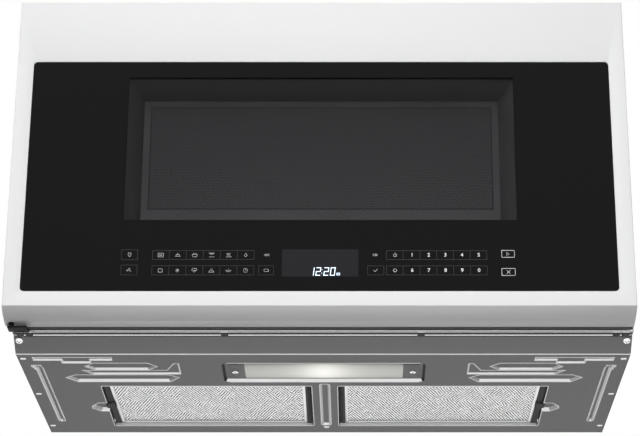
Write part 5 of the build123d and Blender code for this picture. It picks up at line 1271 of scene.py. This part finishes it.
# ---- underside ----
@dataclass
class PanScrew:
    """A pan head screw with a cross recess, modelled once and copied."""

    head: float = 4.2
    height: float = 1.9
    recess: float = 1.9
    arm: float = 0.45

    def pattern(self) -> Piece:
        """One screw that points up, its head's flat on the plane Z = 0.

        Returns:
            The screw.
        """
        screw = Bench.rod("screw", self.head, self.height, (0, 0, -self.height / 2), sides=28)
        with Bench.editing(screw):
            Bench.faces(screw, lambda c, n: n.z < -0.9)
            bpy.ops.mesh.inset(thickness=1.0 * MM, depth=0.0)
            bpy.ops.transform.translate(value=mm(0, 0, -0.25))
        with Bench.editing(screw, "EDGE"):
            Bench.edges(screw, lambda a, b: max(a.z, b.z) < -self.height + 0.3)
            bpy.ops.mesh.bevel(offset=0.5 * MM, segments=3)
        for size in ((self.recess, self.arm), (self.arm, self.recess)):
            low = (-size[0], -size[1], -self.height - 1)
            cutter = Bench.box("cutter", low, (size[0], size[1], -self.height + 0.9))
            Bench.apply(screw, "BOOLEAN", operation="DIFFERENCE", object=cutter, solver="EXACT")
            bpy.data.objects.remove(cutter)
        for finish in (SCREW, BLACK_PAINT_AND_SHADE):
            screw.data.materials.append(finish.material())
        reach = self.recess + 0.05
        # Painted shade: the faces inside the cross recess take the black slot.
        with Bench.editing(screw):
            Bench.faces(
                screw, lambda c, n: math.hypot(c.x, c.y) < reach and -self.height + 0.1 < c.z < -0.2
            )
            Bench.paint(1)
        shank = Bench.rod("shank", 1.75, 8.0, (0, 0, 4.0), sides=16)
        return Bench.merge("screw", [screw, shank])

    def copies(self, places: Sequence[tuple[Color, Color]]) -> list[Piece]:
        """Copies the screw to each place.

        Args:
            places: each screw's seat and its Euler turn.

        Returns:
            The copies.
        """
        pattern = self.pattern()
        made = []
        for seat, turn in places:
            Bench.pick(pattern)
            bpy.ops.object.duplicate(linked=False)
            bpy.context.object.rotation_euler = turn
            bpy.context.object.location = mm(*seat)
            made.append(Bench.settle("screw"))
        bpy.data.objects.remove(pattern)
        return made


@dataclass
class GreaseFilter:
    """One grease filter: a rolled channel, the knitted pad and its two end strips."""

    side: str
    rim: float = 4.6
    front: float = 9.0
    pad: float = 2.5

    def outline(self) -> tuple[Vector, Vector]:
        """The channel's box."""
        return limits(f"{self.side}_grease_filter")

    def frame_piece(self) -> Piece:
        """The rolled channel round the pad.

        Returns:
            The channel.
        """
        low, high = self.outline()
        channel = Bench.box(f"{self.side}_filter_channel", low, high)
        with Bench.editing(channel):
            Bench.faces(channel, lambda c, n: abs(n.z) > 0.9)
            bpy.ops.mesh.inset(thickness=self.rim * MM, depth=0)
            bpy.ops.mesh.bridge_edge_loops()
            Bench.faces(channel, lambda c, n: abs(n.y) > 0.9 and abs(c.y - low.y - self.rim) < 0.5)
            bpy.ops.transform.translate(value=mm(0, self.front, 0))
        Bench.soften(channel, 1.1, 3, 50)
        node = f"{self.side}_grease_filter"
        return dress(channel, f"{self.side}_filter", "aluminium", ALUMINIUM, node)

    def pad_piece(self) -> Piece:
        """The pad of knitted mesh, a little uneven.

        Returns:
            The pad.
        """
        low, high = self.outline()
        centre = (low + high) / 2
        bpy.ops.object.select_all(action="DESELECT")
        bpy.ops.mesh.primitive_grid_add(
            x_subdivisions=110, y_subdivisions=70, size=1,
            location=mm(centre.x, centre.y, low.z + 1.9), rotation=(math.pi, 0, 0),
        )
        bpy.context.object.scale = mm(high.x - low.x - 2.4, high.y - low.y - 2.4, 1000)
        pad = Bench.settle(f"{self.side}_filter_pad")
        clouds = bpy.data.textures.new("mesh_unevenness", "CLOUDS")
        clouds.noise_scale = 0.012
        Bench.apply(pad, "DISPLACE", texture=clouds, strength=0.0011, mid_level=0.5)
        Bench.apply(pad, "SOLIDIFY", thickness=self.pad * MM, offset=-1)
        Bench.smooth(pad, 60)
        return dress(pad, f"{self.side}_filter", "aluminium", MESH)

    def strips_piece(self) -> Piece:
        """The moulded end strips, the front flanks of their inner teeth painted bright as a painted
        highlight.

        Returns:
            The strips.
        """
        node = f"{self.side}_filter_strips"
        strips = Bench.from_node(node, f"{node}_surface")
        body = f"{self.side}_filter"
        dress(strips, body, "black_moulding", BLACK, node, also=(ALUMINIUM,))
        low, high = self.outline()
        # Painted highlight: the front-facing flanks of the inner teeth take the aluminium slot.
        with Bench.editing(strips):
            Bench.faces(strips, lambda c, n: self.is_flank(c, n, low, high))
            Bench.paint(1)
        return strips

    def is_flank(self, c: Vector, n: Vector, low: Vector, high: Vector) -> bool:
        """Whether a face is the front flank of a tooth at the inner end."""
        inner = c.x > high.x if self.side == "left" else c.x < low.x
        return inner and n.y < -0.9 and low.y + 3 < c.y

    def build(self) -> None:
        """Builds the filter's pieces."""
        self.frame_piece()
        self.pad_piece()
        self.strips_piece()


@dataclass
class Underside:
    """The base plate, its trim, light, screws and grease filters."""

    # Widths in millimetres of the painted highlight borders on the flat and along the fold.
    crease: float = 2.2
    fold: float = 0.7
    fold_back: float = 23.0
    squeeze: float = 2.2
    screw_side: float = 370.1
    side_rows: Color = (100.9, 242.1, 382.0)
    rear_row: float = 389.0
    dimple: float = 2.2
    strip_seat: tuple[float, float] = (-142.4, 12.0)
    strip_lean: float = -0.578
    lens_screw: float = 12.5
    well_ends: tuple[float, float] = (15.0, 32.0)
    well_rows: tuple[float, float] = (-51.0, 40.0)
    edge_room: float = 2.5
    screw_room: float = 8.0
    case_row: float = 198.5
    case_heights: tuple[float, float] = (90.0, 330.0)

    def screw_seats(self) -> list[tuple[float, float]]:
        """The base's screws along both edges and at the rear middle.

        Returns:
            The place of each, as X and Y.
        """
        low, high = limits("base_plate")
        middle = (low.x + high.x) / 2
        seats = [
            (middle + side * self.screw_side, FRONT_Y + back)
            for side in (-1, 1)
            for back in self.side_rows
        ]
        return seats + [(middle, FRONT_Y + self.rear_row)]

    def borders(
        self, plate: Piece, flat: Rule, keep: Callable[[float, float], bool], width: float
    ) -> None:
        """Paints a border of painted highlight on flat faces, wider along the front and rear edges
        than the sides.

        Args:
            plate: the piece, its finish slots filled.
            flat: the rule that finds the flat faces.
            keep: the rule that finds which of the border's faces are painted.
            width: the border's width along Y, in millimetres.
        """
        Bench.stretch(plate, (self.squeeze, 1, 1))
        with Bench.editing(plate):
            Bench.faces(plate, flat)
            bpy.ops.mesh.inset(thickness=width * MM, depth=0, use_boundary=True)
            bpy.ops.mesh.hide(unselected=False)
            Bench.faces(plate, lambda c, n: flat(c, n) and keep(c.x / self.squeeze, c.y))
            Bench.paint(1)
            bpy.ops.mesh.reveal(select=False)
        Bench.stretch(plate, (1 / self.squeeze, 1, 1))

    def base(self) -> Piece:
        """The pressed base, with painted highlights along its creases, borders and fold, painted
        shade at the ends of the light's well and a painted highlight on the rear wall of each
        filter opening.

        Returns:
            The base.
        """
        plate = Bench.from_node("base_plate", "pressed_base", whole=False)
        dress(plate, "cabinet", "grey_paint", GREY, "base_plate", also=(PAINTED_CREASE_HIGHLIGHT, BLACK_PAINT_AND_SHADE, PAINTED_HEM_HIGHLIGHT))
        plate.parent = None
        low, high = limits("base_plate")
        fold_y = low.y + self.fold_back
        seats = self.screw_seats()

        def clear(x: float, y: float) -> bool:
            """Away from the outer edges and the screws.

            Args:
                x, y: the point, in millimetres.

            Returns:
                Whether it is clear of them.
            """
            edge = min(x - low.x, high.x - x, high.y - y)
            if edge < self.edge_room or self.by_light(x, y):
                return False
            return all(math.hypot(x - u, y - v) > self.screw_room for u, v in seats)

        def below(c: Vector, n: Vector) -> bool:
            """The flat underside."""
            return n.z < -0.99 and abs(c.z) < 0.05

        def strip(c: Vector, n: Vector) -> bool:
            """The inclined strip at the front."""
            return -0.95 < n.z < -0.7 and c.y < fold_y

        self.borders(plate, below, clear, self.crease)
        self.borders(plate, strip, lambda x, y: clear(x, y) and y > fold_y - 3.0, self.fold)
        with Bench.editing(plate):
            # Painted highlight: the emboss slopes behind the fold take the bright slot.
            Bench.faces(plate, lambda c, n: -0.95 < n.z < -0.6 and c.y > fold_y)
            Bench.paint(1)
            # Painted highlight: the front-facing rear wall of each filter opening takes the bright
            # hem slot.
            Bench.faces(plate, lambda c, n: n.y < -0.9 and c.z < 5 and c.y > high.y - 40)
            Bench.paint(3)
            # Painted shade: the side slopes at the ends of the light's well take the black slot.
            Bench.faces(
                plate, lambda c, n: abs(n.x) > 0.5 and n.z < -0.5 and self.by_light(c.x, c.y)
            )
            Bench.paint(2)
        Bench.smooth(plate, 25)
        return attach(plate, "cabinet")

    def by_light(self, x: float, y: float) -> bool:
        """Whether a point lies at either end of the light's well.

        Args:
            x, y: the point, in millimetres.

        Returns:
            Whether it does.
        """
        low, high = limits("light_lens")
        near, far = self.well_ends
        middle, reach = self.well_rows
        return near <= max(low.x - x, x - high.x) < far and abs(y - middle) < reach

    def screws(self) -> Piece:
        """The screws of the base, its strip, the lens and the sides, as one piece.

        Returns:
            The joined screws.
        """
        low, high = limits("cabinet_screws")
        base_low, base_high = limits("base_plate")
        middle = (base_low.x + base_high.x) / 2
        places = [((x, y, self.dimple), (0, 0, 0.4 * y)) for x, y in self.screw_seats()]
        lens_low, lens_high = limits("light_lens")
        row = (lens_low.y + lens_high.y) / 2
        for x in (lens_low.x - self.lens_screw, lens_high.x + self.lens_screw):
            places.append(((x, row, self.dimple), (0, 0, 0.5)))
        made = PanScrew().copies(places)
        lean = (self.strip_lean, 0, 0)
        strip = [((middle + side * self.screw_side, *self.strip_seat), lean) for side in (-1, 1)]
        made += PanScrew(head=4.6, height=2.2, recess=3.0, arm=1.15).copies(strip)
        turn = (0, math.pi / 2, 0)
        for x in (low.x + 4.0, high.x - 4.0):
            for z in self.case_heights:
                made.append(Bench.rod("screw", 1.8, 8.0, (x, self.case_row, z), turn, 20))
        piece = Bench.merge("case_and_base_screws", made)
        Bench.smooth(piece, 35)
        return dress(piece, "cabinet", "zinc_steel", SCREW, "cabinet_screws", also=(BLACK_PAINT_AND_SHADE,))

    def trim(self) -> Piece:
        """The strip under the door: bright ribs and lugs, with painted shade on the flat and on the
        ribs' rear faces.

        Returns:
            The strip.
        """
        strip = Bench.from_node("front_trim", "front_trim_surface")
        low, high = limits("front_trim")
        middle = low.y + 0.54 * (high.y - low.y - 3.0)
        Bench.soften(strip, 0.3, 2, 40)
        dress(strip, "cabinet", "zinc_steel", BRIGHT, "front_trim", also=(PAINTED_TRIM_SHADE,))
        # Painted shade: the ribs' rear and under faces and the front part of the flat take the dark
        # slot.
        with Bench.editing(strip):
            Bench.faces(
                strip,
                lambda c, n: (n.z < -0.2 and n.y > -0.55 and c.z > low.z + 0.6)
                or (c.y < middle and n.z < -0.2 and n.dot(SEEN_UP) < -0.15),
            )
            Bench.paint(1)
        return strip

    def lens(self) -> None:
        """The lit lens."""
        low, high = limits("light_lens")
        centre, half = (low + high).xy / 2, (high - low).xy / 2
        glow = LitLens("lit_lens", (0.3, 0.3, 0.28), 0.4, tuple(centre), tuple(half))
        Rounded("light_lens", "cabinet", "frosted_lens", glow, 0.3).build()

    def build(self) -> None:
        """Builds everything under the cabinet."""
        self.base()
        self.trim()
        self.screws()
        self.lens()
        for side in ("left", "right"):
            GreaseFilter(side).build()
        rounded = (
            Rounded("light_end_plates", "cabinet", "grey_paint", GREY, 0.4),
            Rounded("hinge_brackets", "cabinet", "black_steel", BLACK_PAINT_AND_SHADE, 0.4),
        )
        finish_nodes(rounded, {ZINC: "light_housing"})


# ---- cabinet and oven ----
@dataclass
class Cabinet:
    """The outer shell, the grille and what shows around the top."""

    def build(self) -> None:
        """Rounds the small pieces and dresses the shell."""
        rounded = (
            Rounded("charcoal_filter", "cabinet", "charcoal_pad", CHARCOAL, 0.6),
            Rounded("cord_gland", "cabinet", "black_moulding", BLACK, 0.4, 50),
        )
        kept = {
            ZINC: "back_panel cabinet_bolt_nuts component_tray", CASE_WHITE: "outer_case",
            WHITE_PLASTIC: "vent_grille", CAVITY: "front_plate",
        }
        finish_nodes(rounded, kept)


@dataclass
class Oven:
    """The cavity and its fittings, with the turntable."""

    def build(self) -> None:
        """Dresses the cavity and rounds what is handled."""
        rounded = (
            Rounded("glass_turntable", "turntable", "clear_glass", CLEAR, 0.8),
            Rounded("convection_cover", "cabinet", "cavity_enamel", CAVITY, 0.3, 50),
            Rounded("waveguide_cover", "cabinet", "mica", MICA, 0.15),
        )
        kept = {
            CAVITY: "oven_cavity", CERAMIC: "cavity_lamp thermal_cutouts",
            SHEATH: "grill_element convection_heater", ZINC: "convection_housing turntable_motor",
            ALUMINIUM: "convection_fan",
            NYLON: "drive_coupler roller_ring roller_wheel_1 roller_wheel_2 roller_wheel_3",
        }
        finish_nodes(rounded, kept)


@dataclass
class Machinery:
    """The blower, the electrical bay and the door interlock."""

    def build(self) -> None:
        """Rounds and dresses the parts inside."""
        rounded = (
            Rounded("transformer", "cabinet", "copper_core", CORE, 0.6),
            Rounded("capacitor", "cabinet", "aluminium", ALUMINIUM, 0.6),
            Rounded("cooling_housing", "cabinet", "black_moulding", BLACK, 0.5),
            Rounded("interlock_bracket", "cabinet", "nylon", NYLON, 0.4),
        )
        kept = {
            ZINC: "blower_wheels blower_housing blower_motor magnetron",
            BLACK: "cooling_fan interlock_switches", BOARD: "power_board", NYLON: "switch_plungers",
        }
        finish_nodes(rounded, kept)


# ---- studio ----
@dataclass(frozen=True)
class Lamp:
    """A soft square lamp: place, aim and side in metres, power in watts, beam in degrees.

    A glint lamp is only mirrored, as a reflector under the oven is.
    """

    name: str
    place: Color
    aim: Color
    side: float
    power: float
    beam: float = 180.0
    glint: bool = False

    def build(self) -> None:
        """Adds the lamp to the scene."""
        data = bpy.data.lights.new(self.name, "AREA")
        data.size = self.side
        data.energy = self.power
        data.spread = math.radians(self.beam)
        lamp = bpy.data.objects.new(self.name, data)
        bpy.context.scene.collection.objects.link(lamp)
        lamp.location = self.place
        way = Vector(self.aim) - Vector(self.place)
        lamp.rotation_euler = way.to_track_quat("-Z", "Y").to_euler()
        lamp.visible_glossy = self.glint
        lamp.visible_diffuse = not self.glint
        lamp.visible_camera = False


@dataclass
class Studio:
    """The pale floor, the soft lamps, the world and the camera."""

    camera_place: Color = (45.7, -2599.4, -844.4)
    pitch: float = 112.49
    lens: float = 119.93
    shift: float = -0.0588
    floor_z: float = -1150.0
    floor_glow: float = 0.45
    ambient: float = 0.12
    beam: float = 60.0

    def floor(self) -> None:
        """A wide pale floor well below the hanging oven."""
        bpy.ops.object.select_all(action="DESELECT")
        bpy.ops.mesh.primitive_grid_add(
            x_subdivisions=8, y_subdivisions=8, size=14, location=mm(0, 0, self.floor_z)
        )
        floor = Bench.settle("studio_floor")
        tree = Tree("pale_floor")
        cloud = tree.noise(0.8)
        color = tree.blend(cloud, (0.60, 0.60, 0.60), (0.63, 0.63, 0.63))
        seen = tree.field(tree.node("ShaderNodeLightPath").outputs["Is Camera Ray"])
        pale = tree.surface(
            Base_Color=color, Roughness=0.9, Emission_Color=(1.0, 1.0, 1.0),
            Emission_Strength=seen * self.floor_glow,
        )
        floor.data.materials.append(tree.close(pale))

    def world(self) -> None:
        """An even pale surround, white where it is seen or mirrored."""
        world = bpy.data.worlds.new("studio")
        bpy.context.scene.world = world
        world.use_nodes = True
        tree = world.node_tree
        tree.nodes.clear()
        path = tree.nodes.new("ShaderNodeLightPath")
        seen = Field(tree, path.outputs["Is Camera Ray"])
        mirrored = Field(tree, path.outputs["Is Glossy Ray"])
        through = Field(tree, path.outputs["Is Transmission Ray"])
        shown = (seen + mirrored + through).math("MINIMUM", 1.0)
        back = tree.nodes.new("ShaderNodeBackground")
        back.inputs["Color"].default_value = (1, 1, 1, 1)
        tree.links.new((shown * (1 - self.ambient) + self.ambient).socket, back.inputs["Strength"])
        out = tree.nodes.new("ShaderNodeOutputWorld")
        tree.links.new(back.outputs[0], out.inputs[0])

    def camera(self) -> None:
        """The camera at the photograph's angle, from below and in front."""
        data = bpy.data.cameras.new("camera")
        data.lens = self.lens
        data.sensor_width = 36.0
        data.shift_x = self.shift
        camera = bpy.data.objects.new("camera", data)
        bpy.context.scene.collection.objects.link(camera)
        camera.location = mm(*self.camera_place)
        camera.rotation_euler = (math.radians(self.pitch), 0, 0)
        bpy.context.scene.camera = camera

    def build(self) -> None:
        """Sets up the studio."""
        bpy.context.scene.view_settings.view_transform = "Standard"
        self.floor()
        self.world()
        for lamp in (
            Lamp("key", (-0.9, -3.2, 1.9), (0, -0.2, 0.25), 2.6, 17.0, self.beam),
            Lamp("low_fill", (0.6, -2.6, -0.7), (0, 0, 0.1), 1.6, 4.0, self.beam),
            Lamp("rear", (1.4, 3.0, 1.6), (0, 0.2, 0.2), 2.4, 12.0, self.beam),
            Lamp("glint_rear", (0, 2.9, -1.12), (0, 2.9, 1), 3.0, 32.0, glint=True),
            Lamp("glint_front", (0, -0.5, -1.12), (0, -0.5, 1), 1.6, 9.0, glint=True),
        ):
            lamp.build()
        self.camera()


def main() -> None:
    """Builds the studio and every sub-assembly."""
    logging.basicConfig(level=logging.INFO, format="%(message)s")
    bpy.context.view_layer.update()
    for assembly in (Studio(), Door(), Underside(), Cabinet(), Oven(), Machinery()):
        assembly.build()
        log.info("%s done", type(assembly).__name__)


if __name__ == "__main__":
    main()
